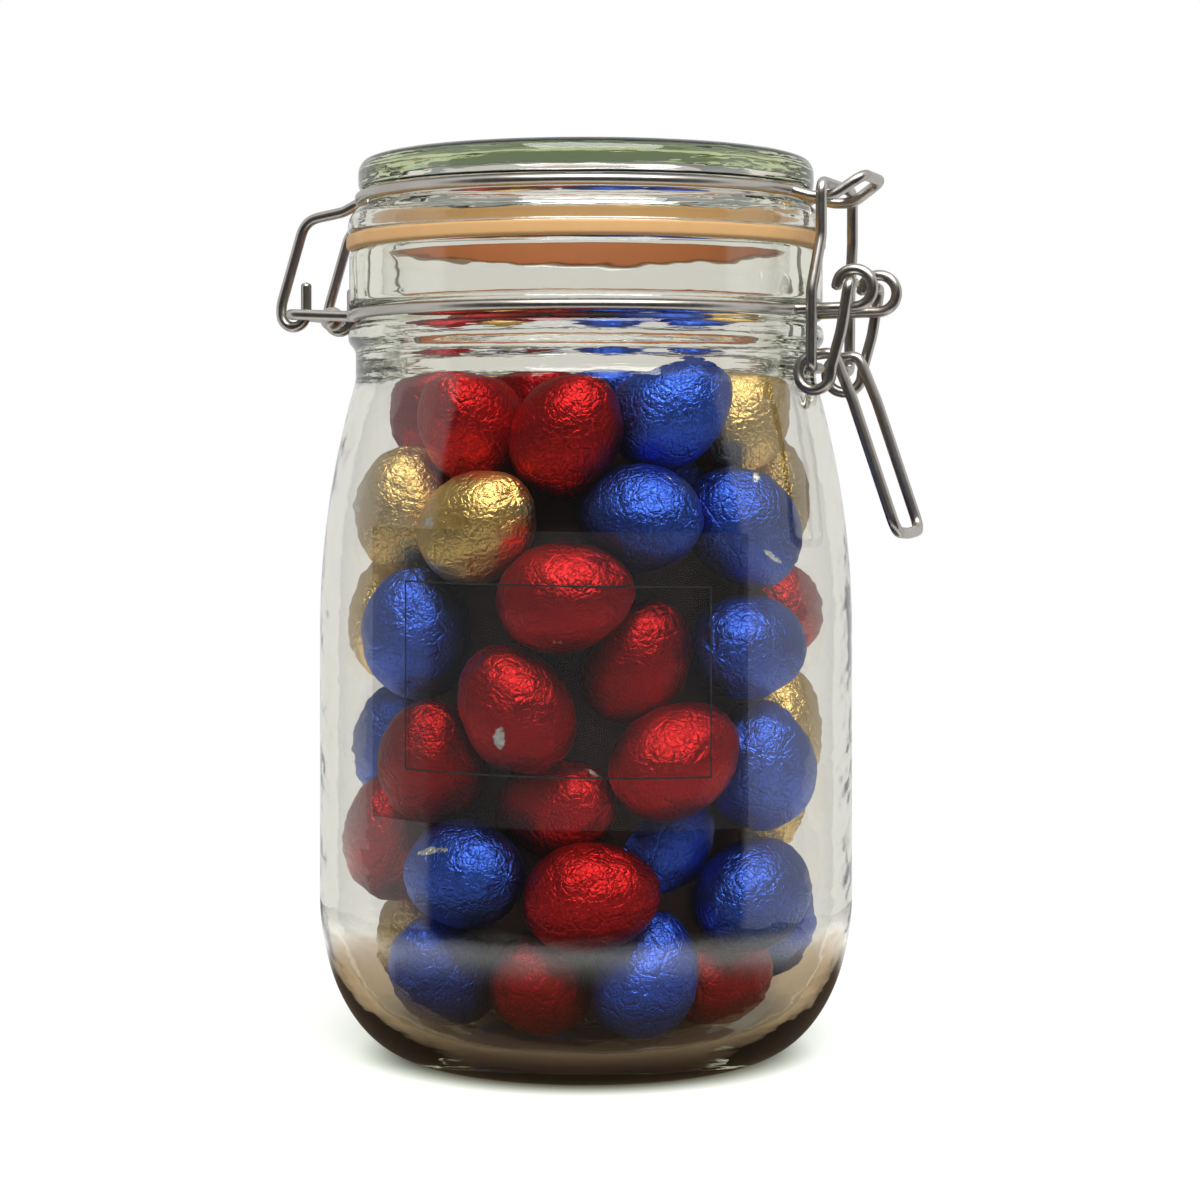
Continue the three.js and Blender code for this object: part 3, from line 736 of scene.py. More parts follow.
class EGGJAR_OT_seal(bpy.types.Operator):
    """Make the rubber seal between the jar and its lid"""
    bl_idname = "eggjar.seal"
    bl_label = "Seal"

    def execute(self, context):
        colour = context.scene.egg_jar_label.seal
        ring = np.array([[44, SEAL_UNDER], [SEAL_RADIUS, SEAL_UNDER], [SEAL_RADIUS, SEAL_TOP],
                         [SEAL_LIP_RADIUS, SEAL_TOP], [SEAL_LIP_RADIUS, SEAL_LIP_TOP],
                         [MOUTH_RADIUS, SEAL_LIP_TOP], [MOUTH_RADIUS, SEAL_UNDER],
                         [44, SEAL_UNDER]])
        add_piece("seal_ring", turned(rounded_path(ring, 0.5, 6), LID_SIDES),
                  rubber_material(colour), "seal")
        return {"FINISHED"}


# ---- wires ----

EYE = {"x": 58.6, "z": 153.4, "radius": 3.7, "side": -10.2}
ELBOW = {"x": 51.1, "z": 137.1, "radius": 3.5}
ARM_SIDE = -12.8
BAIL_SIDE = -15.4
BAIL_TOP = {"x": 52.6, "z": 174.2, "side": -12.6}
HINGE_BAR = {"x": -59.8, "z": 150.0, "side": -14.5}
BEAD = {"side": 7.7, "radius": 2.6, "rings": 25, "sides": 32}
HOOK = {"x": -59.8, "z": 150.2, "radius": 2.8, "side": -11.8}
NOSE_SIDE = -8.5


def upright_arc(x, z, radius, start, end, side, end_side=None):
    """An arc in an upright plane: (x + r cos a, side, z + r sin a), the side moving evenly."""
    steps = int(abs(end - start) / 5) + 1
    angles = np.radians(np.linspace(start, end, steps))
    sides = np.linspace(side, side if end_side is None else end_side, steps)
    return np.stack([x + radius * np.cos(angles), sides, z + radius * np.sin(angles)], 1)


def level_arc(radius, height, start, end):
    """A level arc about the jar's axis: (r cos a, r sin a, z)."""
    angles = np.radians(np.linspace(start, end, int(abs(end - start) / 2) + 1))
    return np.stack([radius * np.cos(angles), radius * np.sin(angles), 0 * angles + height], 1)


def both_sides(half):
    """A wire that is alike on both sides of y = 0, from its -Y half."""
    mirrored = (half * [1, -1, 1])[::-1]
    return np.vstack([half, mirrored[1:] if half[-1, 1] > -0.01 else mirrored])


def neck_wire_path():
    """Round the neck, with an eye at each end of the clasp side and a bar at the hinge."""
    ring = level_arc(NECK_WIRE_RADIUS, NECK_WIRE_HEIGHT, -20, -157)
    leave = math.sqrt(NECK_WIRE_RADIUS ** 2 - EYE["side"] ** 2)
    hinge_leave = -math.sqrt(NECK_WIRE_RADIUS ** 2 - HINGE_BAR["side"] ** 2)
    eye = upright_arc(EYE["x"], EYE["z"], EYE["radius"], 150, -90, EYE["side"])
    curl_end = [[EYE["x"] - EYE["radius"], EYE["side"], EYE["z"] - 0.4]]
    middle = (NECK_WIRE_HEIGHT + EYE["z"] - EYE["radius"]) / 2
    to_ring = bent_path([eye[-1], [leave, EYE["side"], middle], ring[0]], [2.5])
    to_bar = bent_path([
        ring[-1], [hinge_leave, HINGE_BAR["side"], NECK_WIRE_HEIGHT],
        [HINGE_BAR["x"], HINGE_BAR["side"], HINGE_BAR["z"]], [HINGE_BAR["x"], 0, HINGE_BAR["z"]],
    ], [2, 1.8])
    return both_sides(np.vstack([curl_end, eye, to_ring[1:-1], ring, to_bar[1:]]))


def lid_wire_path():
    """Round the lid, with a hook and leg at the hinge and a raised nose at the clasp."""
    ring = level_arc(LID_WIRE_RADIUS, LID_WIRE_HEIGHT, -162, -20)
    side = HOOK["side"]
    stub = [[HOOK["x"] + HOOK["radius"], side, HOOK["z"] + 6.5]]
    hook = upright_arc(HOOK["x"], HOOK["z"], HOOK["radius"], 0, -180, side)
    hinge_join = -math.sqrt(LID_WIRE_RADIUS ** 2 - side ** 2)
    nose_join = math.sqrt(LID_WIRE_RADIUS ** 2 - NOSE_SIDE ** 2)
    leg = bent_path([
        hook[-1], [HOOK["x"] - HOOK["radius"], side, 152], [-57.2, side, 169.4],
        [-48.6, side, 170.9], [hinge_join, side, LID_WIRE_HEIGHT], ring[0],
    ], [6, 5, 4, 2.4])
    nose = bent_path([
        ring[-1], [nose_join, NOSE_SIDE, LID_WIRE_HEIGHT], [49.8, NOSE_SIDE, 171.6],
        [53.6, NOSE_SIDE, 171.5], [59.8, NOSE_SIDE + 1, 175.7], [59.8, 0, 175.7],
    ], [2.4, 4, 5, 3])
    return both_sides(np.vstack([stub, hook, leg[1:-1], ring, nose[1:]]))


def bail_path():
    """From the lever's elbows up both sides and over the lid wire's nose."""
    pin_x, pin_z = ELBOW["x"] + 0.2, ELBOW["z"] + 0.8
    return both_sides(bent_path([
        [pin_x, ARM_SIDE + 4.2, pin_z], [pin_x, BAIL_SIDE, pin_z], [51.4, BAIL_SIDE, 153],
        [BAIL_TOP["x"], BAIL_TOP["side"], 163.5],
        [BAIL_TOP["x"], BAIL_TOP["side"], BAIL_TOP["z"]], [BAIL_TOP["x"], 0, BAIL_TOP["z"]],
    ], [1.5, 6, 6, 2.6]))


def lever_path():
    """From the pins in the eyes down to a loop at each elbow, then down to the handle."""
    pin_x, pin_z = EYE["x"] - 0.4, EYE["z"] + 1.1
    loop = upright_arc(ELBOW["x"], ELBOW["z"], ELBOW["radius"], 10, -275, ARM_SIDE, EYE["side"])
    arm = bent_path([
        [pin_x, EYE["side"] + 2.2, pin_z], [pin_x, ARM_SIDE, pin_z], [56.6, ARM_SIDE, 145],
        loop[0],
    ], [1.5, 12])
    handle = bent_path([
        loop[-1], [54.4, EYE["side"], ELBOW["z"] + 3.9], [58.2, EYE["side"], 131.8],
        [67, EYE["side"], 106], [67, 0, 105.6],
    ], [2.5, 8, 3.2])
    return both_sides(np.vstack([arm[:-1], loop, handle[1:]]))


def bead():
    """A ball on the hinge bar: centre + R (sin p cos a, sin p sin a, cos p)."""
    polar = np.linspace(0, math.pi, BEAD["rings"])[:, None]
    around = np.linspace(0, 2 * math.pi, BEAD["sides"], endpoint=False)[None, :]
    ball = np.stack([np.sin(polar) * np.cos(around), np.sin(polar) * np.sin(around),
                     np.cos(polar) + 0 * around], -1).reshape(-1, 3)
    centre = [HINGE_BAR["x"], BEAD["side"], HINGE_BAR["z"]]
    return centre + BEAD["radius"] * ball, grid_faces(BEAD["rings"], BEAD["sides"])


class EGGJAR_OT_wires(bpy.types.Operator):
    """Make the four wires of the clasp and hinge"""
    bl_idname = "eggjar.wires"
    bl_label = "Wires"

    def execute(self, context):
        settings = context.scene.egg_jar_wire
        steel = steel_material(settings)
        radius = settings.radius / MM
        level_reference, clasp_reference = (0, 0.6, 0.8), (0.6, 0.8, 0)
        for name, path, replaced, reference in (
                ("neck_band_wire", neck_wire_path(), "neck_wire", level_reference),
                ("lid_band_wire", lid_wire_path(), "lid_wire", level_reference),
                ("clasp_bail", bail_path(), "bail", clasp_reference),
                ("clasp_lever", lever_path(), "lever", clasp_reference)):
            shape = tube(even_path(path, WIRE_STEP, WIRE_SOFTENING), radius, reference)
            if replaced == "neck_wire":
                shape = joined([shape, bead()])
            add_piece(name, shape, steel, replaced)
        return {"FINISHED"}


# ---- label ----

FILM_INNER = 54.3
FILM_OUTER = 54.5
FILM_SPAN = (-48.6, 34.1)       # degrees round from the front
PRINT_SPAN = (-39.0, 25.6)
PRINT_HEIGHTS = (60.9, 96.8)
PRINT_OUTER = 54.54
LABEL_SLOPE = 0.014             # drop of the label for each distance gone round
LABEL_MIDDLE = -4.6             # where it has its given height, degrees round from the front
LABEL_STEP = 1.2


class EGGJAR_OT_label(bpy.types.Operator):
    """Make the clear label and the line printed round its middle"""
    bl_idname = "eggjar.label"
    bl_label = "Label"

    def execute(self, context):
        settings = context.scene.egg_jar_label
        low, high, line = settings.low / MM, settings.high / MM, settings.line / MM
        film = label_bar(FILM_INNER, FILM_OUTER, low, high,
                         FRONT + FILM_SPAN[0], FRONT + FILM_SPAN[1])
        add_piece("label_sheet", film, film_material(), "label_film", smooth=False)
        start, end = FRONT + PRINT_SPAN[0], FRONT + PRINT_SPAN[1]
        bottom, top = PRINT_HEIGHTS
        width = math.degrees(line / FILM_OUTER)
        border = joined([label_bar(FILM_OUTER, PRINT_OUTER, *span) for span in (
            (bottom, bottom + line, start, end), (top - line, top, start, end),
            (bottom + line, top - line, start, start + width),
            (bottom + line, top - line, end - width, end))])
        add_piece("label_border", border, ink_material(), None, smooth=False)
        return {"FINISHED"}


# ---- eggs ----

# The near side, row by row from the top. Each egg is (degrees round from the front, height,
# slant of its long axis, degrees that it turns away from the wall, how deep it lies, foil).
NEAR_SIDE = [
    (-68, 122, 60, 30, 3, "red"), (-28, 130, 20, 35, 15, "red"), (-5, 124, 60, 30, 7, "red"),
    (34, 125, 60, 35, 12, "blue"), (77, 126, 75, 20, 0, "gold"), (-84, 104, 75, 0, 0, "gold"),
    (-39, 108, 30, 10, 4, "gold"), (16, 109, 0, 60, 5, "blue"), (68, 120, 30, 40, 16, "blue"),
    (59, 102, -50, 15, 0, "blue"), (94, 106, 80, 0, 0, "gold"), (-89, 88, 85, 0, 0, "gold"),
    (-63, 86, 80, 10, 1, "blue"), (-5, 94, 10, 10, 3, "red"), (14, 82, 65, 25, 4, "red"),
    (68, 86, 5, 10, 0, "blue"), (89, 92, 0, 0, 0, "red"), (-89, 67, 80, 0, 0, "blue"),
    (-53, 60, 70, 20, 3, "red"), (-21, 74, 118, 10, 3, "red"), (28, 62, 35, 10, 4, "red"),
    (80, 62, 100, 0, 2, "blue"), (88, 70, 80, 0, 0, "gold"), (-89, 46, 80, 0, 0, "red"),
    (-6, 48, 10, 35, 4, "red"), (37, 44, 40, 0, 20, "blue"), (92, 45, 80, 0, 3, "gold"),
    (-43, 38, 0, 10, 0, "blue"), (-1, 35, 8, 0, 0, "red"), (62, 37, 25, 10, 1, "blue"),
    (-91, 22, 70, 0, 1, "gold"), (-60, 23, 70, 40, 0, "blue"), (-13, 13, 80, 60, 4, "red"),
    (26, 17, 75, 10, 0, "blue"), (71, 18, 20, 20, 0, "red"), (88, 30, 80, 0, 0, "blue"),
]
NEXT_FOIL = {"red": "blue", "blue": "gold", "gold": "red"}
SHARED_EDGE = 80                # eggs further round than this serve both sides
INNER_ROWS = (20, 44, 68, 92, 114)
INNER_PER_ROW = 3
INNER_RADIUS = 13.0
INNER_ROW_TURN = 40             # degrees from the eggs of one inner row to those of the next
INNER_SLANTS = (30, 20)         # added slant from egg to egg and from row to row
INNER_TURN = 20
SETTLE_STEPS = 60
PUSH_SHARE = 0.25               # part of an overlap that one step takes away
SIDEWAYS_SHARE = 0.15           # part of a push that moves a near-side egg sideways or up
EGG_CLEARANCE = 1.0
HEAP_TOP = 146.0
INSIDE_RADIUS = 50.4
EGG_FLAT = 31.0                 # the eggs keep to a rounder heel than the glass: its flat
EGG_HEEL = 29.0                 # radius and its height
BALL_PLACES = np.array([-5.0, 0.0, 5.0])
END_BALL_RADIUS = 9.0
CORE_RADIUS = 31.0              # of the dark middle, painted shade that closes the gaps
CORE_HEIGHTS = (16, 104, 124, 126)  # its bottom, and the edge, slope and middle of its top
CORE_TOP_RADIUS = 14
CORE_SIDES = 96
EGG_RINGS = 40
EGG_SIDES = 64
EGG_TAPER = 0.08
BROAD_FLATS = 26
BROAD_HEIGHTS = (0.955, 0.985)  # distances of the flats from the middle of the unit ball
FINE_FLATS = 150
FINE_HEIGHTS = (0.986, 0.998)
FOLDS = 4
FOLD_DEPTH = 0.014
PLEAT_DEPTH = 0.018
TEARS = 3
TEAR_CHANCE = 0.45
TEAR_LENGTHS = (0.18, 0.42)
TEAR_WIDTHS = (0.045, 0.09)


def all_eggs(radius):
    """The near side, the same eggs turned to the far side, and rows inside the heap."""
    far = [(around + 180, height, -slant, turn, depth, NEXT_FOIL[foil])
           for around, height, slant, turn, depth, foil in NEAR_SIDE if abs(around) < SHARED_EDGE]
    foils = list(NEXT_FOIL)
    depth = INSIDE_RADIUS - radius - INNER_RADIUS
    by_egg, by_row = INNER_SLANTS
    inner = [(360 * i / INNER_PER_ROW + INNER_ROW_TURN * row, height, by_egg * i + by_row * row,
              INNER_TURN * row, depth, foils[(i + row) % len(foils)])
             for row, height in enumerate(INNER_ROWS) for i in range(INNER_PER_ROW)]
    return NEAR_SIDE + far + inner


def place_eggs(rows, radius):
    """Centres and long axes of eggs from their places round the jar, as arrays."""
    numbers = np.array([row[:5] for row in rows], float)
    around, slant, turn = np.radians(numbers[:, [0, 2, 3]]).T
    angle = around + math.radians(FRONT)
    outward = np.stack([np.cos(angle), np.sin(angle), 0 * angle], 1)
    axis = np.stack([-np.sin(angle) * np.cos(slant), np.cos(angle) * np.cos(slant),
                     np.sin(slant)], 1)
    axis = axis * np.cos(turn)[:, None] + outward * np.sin(turn)[:, None]
    centre = outward * (INSIDE_RADIUS - radius - numbers[:, 4:5])
    centre[:, 2] = numbers[:, 1]
    return centre, axis / np.linalg.norm(axis, axis=1, keepdims=True)


def room_for_ball(height, radius):
    """How far out the centre of a ball inside the jar may lie, by its height and radius.

    It is the least room over points at nine slants on the ball: the inside's radius at the
    point's height less the point's own reach.
    """
    slants = np.radians(np.arange(-80, 81, 20))
    level = height[..., None] + radius * np.sin(slants)
    drop = np.clip((FLOOR + EGG_HEEL - level) / EGG_HEEL, 0, 1)
    heel = EGG_FLAT + (INSIDE_RADIUS - EGG_FLAT) * np.sqrt(1 - drop ** 2)
    share = np.clip((level - SHOULDER_START) / (INSIDE_NECK - SHOULDER_START), 0, 1)
    wall = INSIDE_RADIUS - (INSIDE_RADIUS - MOUTH_RADIUS) * share ** 2
    inside = np.where(level < FLOOR + EGG_HEEL, heel, wall)
    return (inside - radius * np.cos(slants)).min(-1)


def settle(centre, axis, radius):
    """Pushes overlapping eggs apart and back from the glass, all at once in each step.

    Three balls stand for an egg. Each step moves it by a share of every overlap of its balls
    with others, and near-side eggs give way mostly in depth, so that they keep their order.
    """
    radii = np.array([END_BALL_RADIUS, radius, END_BALL_RADIUS])
    count = len(centre)
    near = (np.arange(count) < len(NEAR_SIDE))[:, None]
    front = np.array([math.cos(math.radians(FRONT)), math.sin(math.radians(FRONT)), 0.0])
    owner = np.repeat(np.arange(count), 3)
    others = owner[:, None] != owner[None, :]
    reach = np.tile(radii, count)
    reach = reach[:, None] + reach[None, :]
    for _ in range(SETTLE_STEPS):
        balls = (centre[:, None] + axis[:, None] * BALL_PLACES[None, :, None]).reshape(-1, 3)
        apart = balls[:, None] - balls[None, :]
        distance = np.linalg.norm(apart, axis=-1)
        overlap = np.where(others, np.maximum(reach - distance, 0), 0)
        pushes = apart * (overlap * PUSH_SHARE / np.maximum(distance, 1e-9))[..., None]
        pushes = pushes.sum(1).reshape(count, 3, 3).sum(1)
        in_depth = (pushes @ front)[:, None] * front
        mostly_in_depth = in_depth + SIDEWAYS_SHARE * (pushes - in_depth)
        centre = centre + np.where(near, mostly_in_depth, pushes)
        balls = centre[:, None] + axis[:, None] * BALL_PLACES[None, :, None]
        lift = np.maximum((FLOOR + EGG_CLEARANCE + radii - balls[..., 2]).max(1), 0)
        drop = np.maximum((balls[..., 2] + radii - HEAP_TOP).max(1), 0)
        limit = np.stack([room_for_ball(balls[:, i, 2], radii[i] + EGG_CLEARANCE)
                          for i in range(3)], 1)
        inward = np.maximum((np.hypot(balls[..., 0], balls[..., 1]) - limit).max(1), 0)
        scale = 1 - inward / np.hypot(centre[:, 0], centre[:, 1])
        centre = np.stack([centre[:, 0] * scale, centre[:, 1] * scale,
                           centre[:, 2] + lift - drop], 1)
    return centre


def smoothstep(value):
    """0 below 0, 1 above 1, and 3t^2 - 2t^3 between."""
    value = np.clip(value, 0, 1)
    return value * value * (3 - 2 * value)


def unit_vectors(rng, count):
    """Random directions, evenly spread."""
    vectors = rng.normal(size=(count, 3))
    return vectors / np.linalg.norm(vectors, axis=1, keepdims=True)


def egg_shape(centre, axis, half_length, girth, rng):
    """One wrapped egg, and how torn its foil is at each point.

    A direction (cos p, sin p cos a, sin p sin a) is scaled to the egg's length and girth, the
    girth shrinking by the taper times cos p towards one end. The foil's flats are
    planes that cut the unit ball: the radius is the least of h / (n . d) over planes with
    normal n at distance h. Folds lower one side of a plane by a small step, and pleats at
    both ends follow the cosine of a multiple of a. A tear is exp(-(l/L)^2 - (w/W)^2) at the
    distances l along it and w across it.
    """
    polar = np.linspace(0, math.pi, EGG_RINGS)[:, None]
    around = np.linspace(0, 2 * math.pi, EGG_SIDES, endpoint=False)[None, :]
    direction = np.stack([np.cos(polar) + 0 * around, np.sin(polar) * np.cos(around),
                          np.sin(polar) * np.sin(around)], -1).reshape(-1, 3)
    along = direction[:, 0]
    planes = np.vstack([unit_vectors(rng, BROAD_FLATS), unit_vectors(rng, FINE_FLATS)])
    heights = np.r_[rng.uniform(*BROAD_HEIGHTS, BROAD_FLATS),
                    rng.uniform(*FINE_HEIGHTS, FINE_FLATS)]
    facing = np.maximum(direction @ planes.T, 0.05)
    size = np.minimum((heights / facing).min(1), 1.0)
    folds = unit_vectors(rng, FOLDS)
    sides = direction @ folds.T - rng.uniform(-0.6, 0.6, FOLDS)
    patch = smoothstep((direction @ unit_vectors(rng, FOLDS).T + 0.3) / 0.5)
    size -= (FOLD_DEPTH * smoothstep(sides / 0.035) * patch).sum(1)
    pleats = 0.5 + 0.5 * np.cos(rng.integers(9, 14) * around + rng.uniform(0, 6) + 0 * polar)
    at_ends = np.exp(-(1 - np.abs(along)) / 0.10) * (np.abs(along) < 0.999)
    size -= PLEAT_DEPTH * pleats.reshape(-1) * at_ends
    local = direction * size[:, None] * np.array([half_length, girth, girth])
    local[:, 1:] *= (1 - EGG_TAPER * along)[:, None]
    helper = np.array([0.0, 0.0, 1.0]) if abs(axis[2]) < 0.9 else np.array([1.0, 0.0, 0.0])
    second = np.cross(helper, axis)
    second /= np.linalg.norm(second)
    roll = rng.uniform(0, 2 * math.pi)
    third = np.cross(axis, second)
    second, third = (math.cos(roll) * second + math.sin(roll) * third,
                     -math.sin(roll) * second + math.cos(roll) * third)
    points = centre + local @ np.stack([axis, second, third])
    spots = unit_vectors(rng, TEARS)
    lines = np.cross(spots, unit_vectors(rng, TEARS))
    lines /= np.linalg.norm(lines, axis=1, keepdims=True)
    length, width = rng.uniform(*TEAR_LENGTHS, TEARS), rng.uniform(*TEAR_WIDTHS, TEARS)
    tear = (np.exp(-((direction @ lines.T) / length) ** 2
                   - ((direction @ np.cross(spots, lines).T) / width) ** 2)
            * (direction @ spots.T > 0) * (rng.random(TEARS) < TEAR_CHANCE)).max(1)
    return points, tear


class EGGJAR_OT_eggs(bpy.types.Operator):
    """Make the heap of eggs, one mesh for each colour of foil, round a dark middle of painted shade
    """
    bl_idname = "eggjar.eggs"
    bl_label = "Eggs"

    def execute(self, context):
        settings = context.scene.egg_jar_eggs
        half_length, radius = settings.half_length / MM, settings.radius / MM
        rows = all_eggs(radius)
        centre, axis = place_eggs(rows, radius)
        centre = settle(centre, axis, radius)
        rng = np.random.default_rng(settings.seed)
        eggs = [egg_shape(c, a, half_length, radius, rng) for c, a in zip(centre, axis)]
        tones = rng.random(len(rows))
        faces = grid_faces(EGG_RINGS, EGG_SIDES)
        for foil, colour, crease in (("red", settings.red, 1.0), ("blue", settings.blue, 1.12),
                                     ("gold", settings.gold, 0.9)):
            chosen = [i for i, row in enumerate(rows) if row[5] == foil]
            shape = joined([(eggs[i][0], faces) for i in chosen])
            tone = np.repeat(tones[chosen], EGG_RINGS * EGG_SIDES)
            tear = np.concatenate([eggs[i][1] for i in chosen])
            material = foil_material(f"{foil.capitalize()} Foil", colour, crease)
            add_piece(f"eggs_{foil}", shape, material, "egg_heap",
                      {"tone": tone, "tear": tear})
        # painted shade: a nearly black core fills the gaps between the eggs, where shade falls
        low, side, dome, top = CORE_HEIGHTS
        core = rounded_path([[0, low], [CORE_RADIUS, low], [CORE_RADIUS, side],
                             [CORE_TOP_RADIUS, dome], [0, top]], 5)
        add_piece("heap_shade_core", turned(core, CORE_SIDES), shade_material(), "egg_heap")
        return {"FINISHED"}


# ---- studio ----

def add_softbox(name, place, aim, size, power):
    """A white rectangular soft light that faces the point aim."""
    light = bpy.data.lights.new(name, "AREA")
    light.shape = "RECTANGLE"
    light.size, light.size_y = size
    light.energy = power
    lamp = bpy.data.objects.new(name, light)
    lamp.location = place
    x, y, z = (aim - place) / np.linalg.norm(aim - place)
    lamp.rotation_euler = (math.acos(-z), 0.0, math.atan2(-x, y))
    lamp.visible_camera = False
    bpy.context.scene.collection.objects.link(lamp)


def mirrored_ray(tree, ray, place):
    """1 for light that was mirrored last, and 0 also for light that hazy glass let through."""
    return math_node(tree, place, "SUBTRACT", ray["Is Glossy Ray"], ray["Is Transmission Ray"],
                     use_clamp=True)


def studio_world():
    """A white cove, in which reflections also see the dark room on the camera's side.

    What stands inside the glass mirrors a dimmer and more even room than the glass itself.
    """
    world = bpy.data.worlds.new("Studio")
    world.use_nodes = True
    tree = world.node_tree
    azimuth = math.radians(CAMERA_AZIMUTH)
    direction = add_node(tree, "ShaderNodeTexCoord", (-1400, 0)).outputs["Generated"]
    toward = vector_node(tree, (-1150, 150), "DOT_PRODUCT",
                         {0: direction, 1: (math.sin(azimuth), -math.cos(azimuth), 0.0)}, 1)
    beyond = ramp(tree, (-900, 150), toward, (0.29, 0.38), (1.0, 0.01), "SMOOTHSTEP")
    falloff = ramp(tree, (-900, 400), toward, (-0.3, 0.3), (0.75, 1.1))
    cove = math_node(tree, (-700, 250), "MULTIPLY", beyond, falloff)
    dimmer = math_node(tree, (-500, 350), "MULTIPLY_ADD", cove, 0.22, 0.09)
    ray = add_node(tree, "ShaderNodeLightPath", (-1400, 600)).outputs
    from_inside = math_node(tree, (-500, 650), "GREATER_THAN", ray["Transparent Depth"], 0.5)
    shaded = add_node(tree, "ShaderNodeMix", (-300, 400),
                      {"Factor": from_inside, "A": cove, "B": dimmer}).outputs["Result"]
    level = add_node(tree, "ShaderNodeSeparateXYZ", (-1150, -100), {0: direction}).outputs["Z"]
    overhead = ramp(tree, (-900, -100), level, (0.45, 0.95), (0.0, 0.25), "SMOOTHSTEP")
    room = math_node(tree, (-650, 50), "MAXIMUM", shaded, overhead)
    behind = blended(tree, (-600, 350), ray["Is Transmission Ray"],
                     (1.0, 1.0, 1.0, 1.0), (0.76, 0.725, 0.695, 1.0))
    seen = blended(tree, (-300, 100), mirrored_ray(tree, ray, (-500, -50)), behind, room)
    tree.links.new(seen, tree.nodes["Background"].inputs["Color"])
    world.cycles.sampling_method = "NONE"
    bpy.context.scene.world = world


def floor_material(colour):
    """Pale matt floor with a painted shadow, dark close to the jar, and fading out before its edge.

    Seen through the glass it is duller, and mirrored or seen through the glass it is brown and dark
    close to the jar: painted shade that shows only in the glass.
    """
    material, tree, shader = new_material(
        "Pale Floor", {"Roughness": 0.7, "Specular IOR Level": 0.2})
    reach = vector_node(tree, (-800, -100), "LENGTH", {0: object_place(tree)}, 1)
    fade = ramp(tree, (-500, -100), reach, (FLOOR_FADE, STAGE_RADIUS), (1.0, 0.0), "SMOOTHSTEP")
    # painted shadow: the floor is painted dark brown where it meets the jar's base
    painted_contact_shadow = ramp(tree, (-500, 200), reach, (0.034, 0.048), (1.0, 0.0), "SMOOTHSTEP")
    latest = blended(tree, (-300, 200), painted_contact_shadow, (*colour, 1.0), (0.10, 0.085, 0.06, 1.0))
    ray = add_node(tree, "ShaderNodeLightPath", (-700, 750)).outputs
    through = ray["Is Transmission Ray"]
    # painted shade: seen through the glass the floor is painted duller, then beige, then dark brown
    # close to the jar, and mirrored it is painted brown near the jar
    for kind, start, end, tone in (
            (through, STAGE_RADIUS, 0.300, (0.64, 0.61, 0.57, 1.0)),
            (through, 0.090, 0.170, (0.36, 0.25, 0.15, 1.0)),
            (through, 0.034, 0.056, (0.032, 0.013, 0.010, 1.0)),
            (mirrored_ray(tree, ray, (-500, 750)), 0.080, 0.140, (0.080, 0.050, 0.028, 1.0))):
        near = ramp(tree, (-500, 450), reach, (start, end), (1.0, 0.0), "SMOOTHSTEP")
        share = math_node(tree, (-300, 500), "MULTIPLY", kind, near)
        latest = blended(tree, (-100, 300), share, latest, tone)
    tree.links.new(latest, shader.inputs["Base Color"])
    tree.links.new(fade, shader.inputs["Alpha"])
    return material


class EGGJAR_OT_stage(bpy.types.Operator):
    """Make the floor, the lights and the camera"""
    bl_idname = "eggjar.stage"
    bl_label = "Stage"

    def execute(self, context):
        settings = context.scene.egg_jar_studio
        scene = context.scene
        angles = np.linspace(0, 2 * math.pi, STAGE_SIDES, endpoint=False)
        rim = STAGE_RADIUS * np.stack([np.cos(angles), np.sin(angles), 0 * angles], 1)
        mesh = bpy.data.meshes.new("floor")
        mesh.from_pydata(rim.tolist(), [], [list(range(STAGE_SIDES))])
        mesh.materials.append(floor_material(settings.floor))
        floor = bpy.data.objects.new("floor", mesh)
        scene.collection.objects.link(floor)
        floor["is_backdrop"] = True

        azimuth = math.radians(CAMERA_AZIMUTH)
        right = np.array([math.cos(azimuth), math.sin(azimuth), 0.0])
        nearer = np.array([math.sin(azimuth), -math.cos(azimuth), 0.0])
        up = np.array([0.0, 0.0, 1.0])
        add_softbox("key_light", KEY_PLACE @ np.stack([right, nearer, up]), JAR_MIDDLE * up,
                    KEY_SIZE, settings.key_power)
        studio_world()

        camera = bpy.data.cameras.new("camera")
        camera.lens = settings.lens
        camera.sensor_width = 36.0
        camera.shift_x, camera.shift_y = CAMERA_SHIFT
        eye = bpy.data.objects.new("camera", camera)
        eye.location = settings.distance * nearer + settings.height * up
        eye.rotation_euler = (math.pi / 2, 0.0, azimuth)
        scene.collection.objects.link(eye)
        scene.camera = eye

        scene.view_settings.view_transform = "Standard"
        scene.cycles.use_denoising = True
        scene.cycles.max_bounces = 16
        scene.cycles.transmission_bounces = 14
        scene.cycles.glossy_bounces = 5
        scene.cycles.transparent_max_bounces = 16
        scene.cycles.sample_clamp_indirect = 8.0
        return {"FINISHED"}


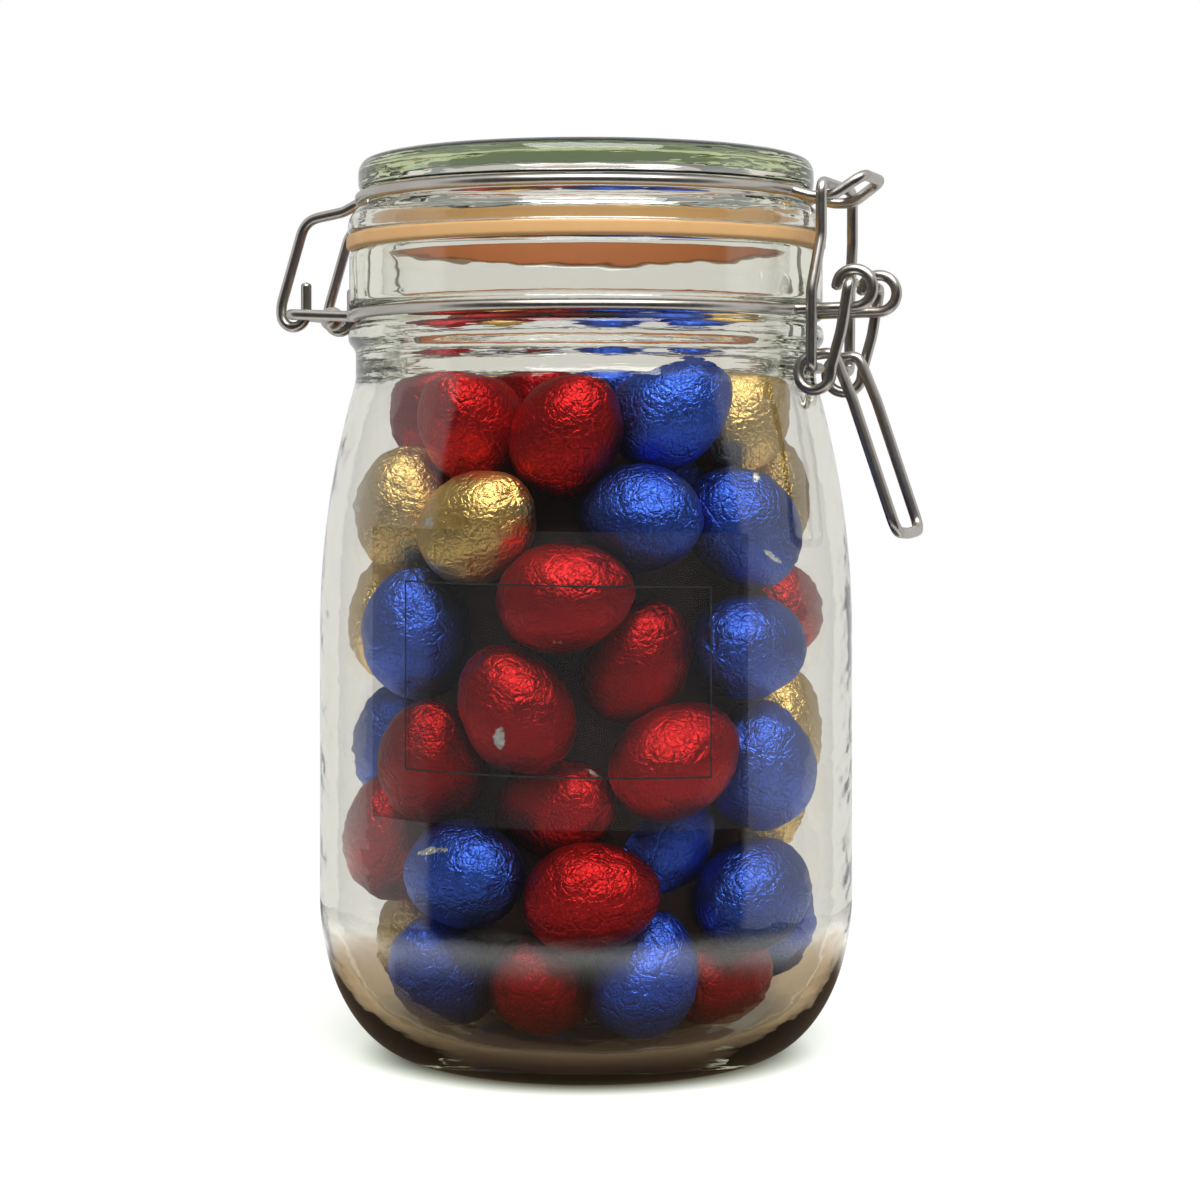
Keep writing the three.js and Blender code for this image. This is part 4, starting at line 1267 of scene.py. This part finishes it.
# ---- panel and registration ----

class EGGJAR_PT_panel(bpy.types.Panel):
    """Settings and buttons of the jar"""
    bl_label = "Egg Jar"
    bl_space_type = "VIEW_3D"
    bl_region_type = "UI"
    bl_category = "Egg Jar"

    def draw(self, context):
        layout = self.layout
        for label, group, operators in (
                ("Glass", context.scene.egg_jar_glass, ("eggjar.jar", "eggjar.lid")),
                ("Wires", context.scene.egg_jar_wire, ("eggjar.wires",)),
                ("Label and Seal", context.scene.egg_jar_label, ("eggjar.seal", "eggjar.label")),
                ("Eggs", context.scene.egg_jar_eggs, ("eggjar.eggs",)),
                ("Stage", context.scene.egg_jar_studio, ("eggjar.stage",))):
            box = layout.box()
            box.label(text=label)
            for key in group.__annotations__:
                box.prop(group, key)
            for operator in operators:
                box.operator(operator)


SETTINGS = {
    "egg_jar_glass": GlassSettings,
    "egg_jar_wire": WireSettings,
    "egg_jar_label": LabelSettings,
    "egg_jar_eggs": EggSettings,
    "egg_jar_studio": StudioSettings,
}
OPERATORS = (EGGJAR_OT_jar, EGGJAR_OT_lid, EGGJAR_OT_seal, EGGJAR_OT_wires, EGGJAR_OT_label,
             EGGJAR_OT_eggs, EGGJAR_OT_stage)


def register():
    for cls in (*SETTINGS.values(), *OPERATORS, EGGJAR_PT_panel):
        bpy.utils.register_class(cls)
    for key, cls in SETTINGS.items():
        setattr(bpy.types.Scene, key, PointerProperty(type=cls))


def unregister():
    for key in SETTINGS:
        delattr(bpy.types.Scene, key)
    for cls in reversed((*SETTINGS.values(), *OPERATORS, EGGJAR_PT_panel)):
        bpy.utils.unregister_class(cls)


def corners():
    """The shown object's lowest and highest corner as plain lists."""
    return [list(corner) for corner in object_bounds()]


def main():
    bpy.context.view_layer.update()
    register()
    bpy.ops.eggjar.stage()
    bpy.ops.eggjar.jar()
    bpy.ops.eggjar.lid()
    bpy.ops.eggjar.seal()
    bpy.ops.eggjar.wires()
    bpy.ops.eggjar.label()
    bpy.ops.eggjar.eggs()


if __name__ == "__main__":
    main()
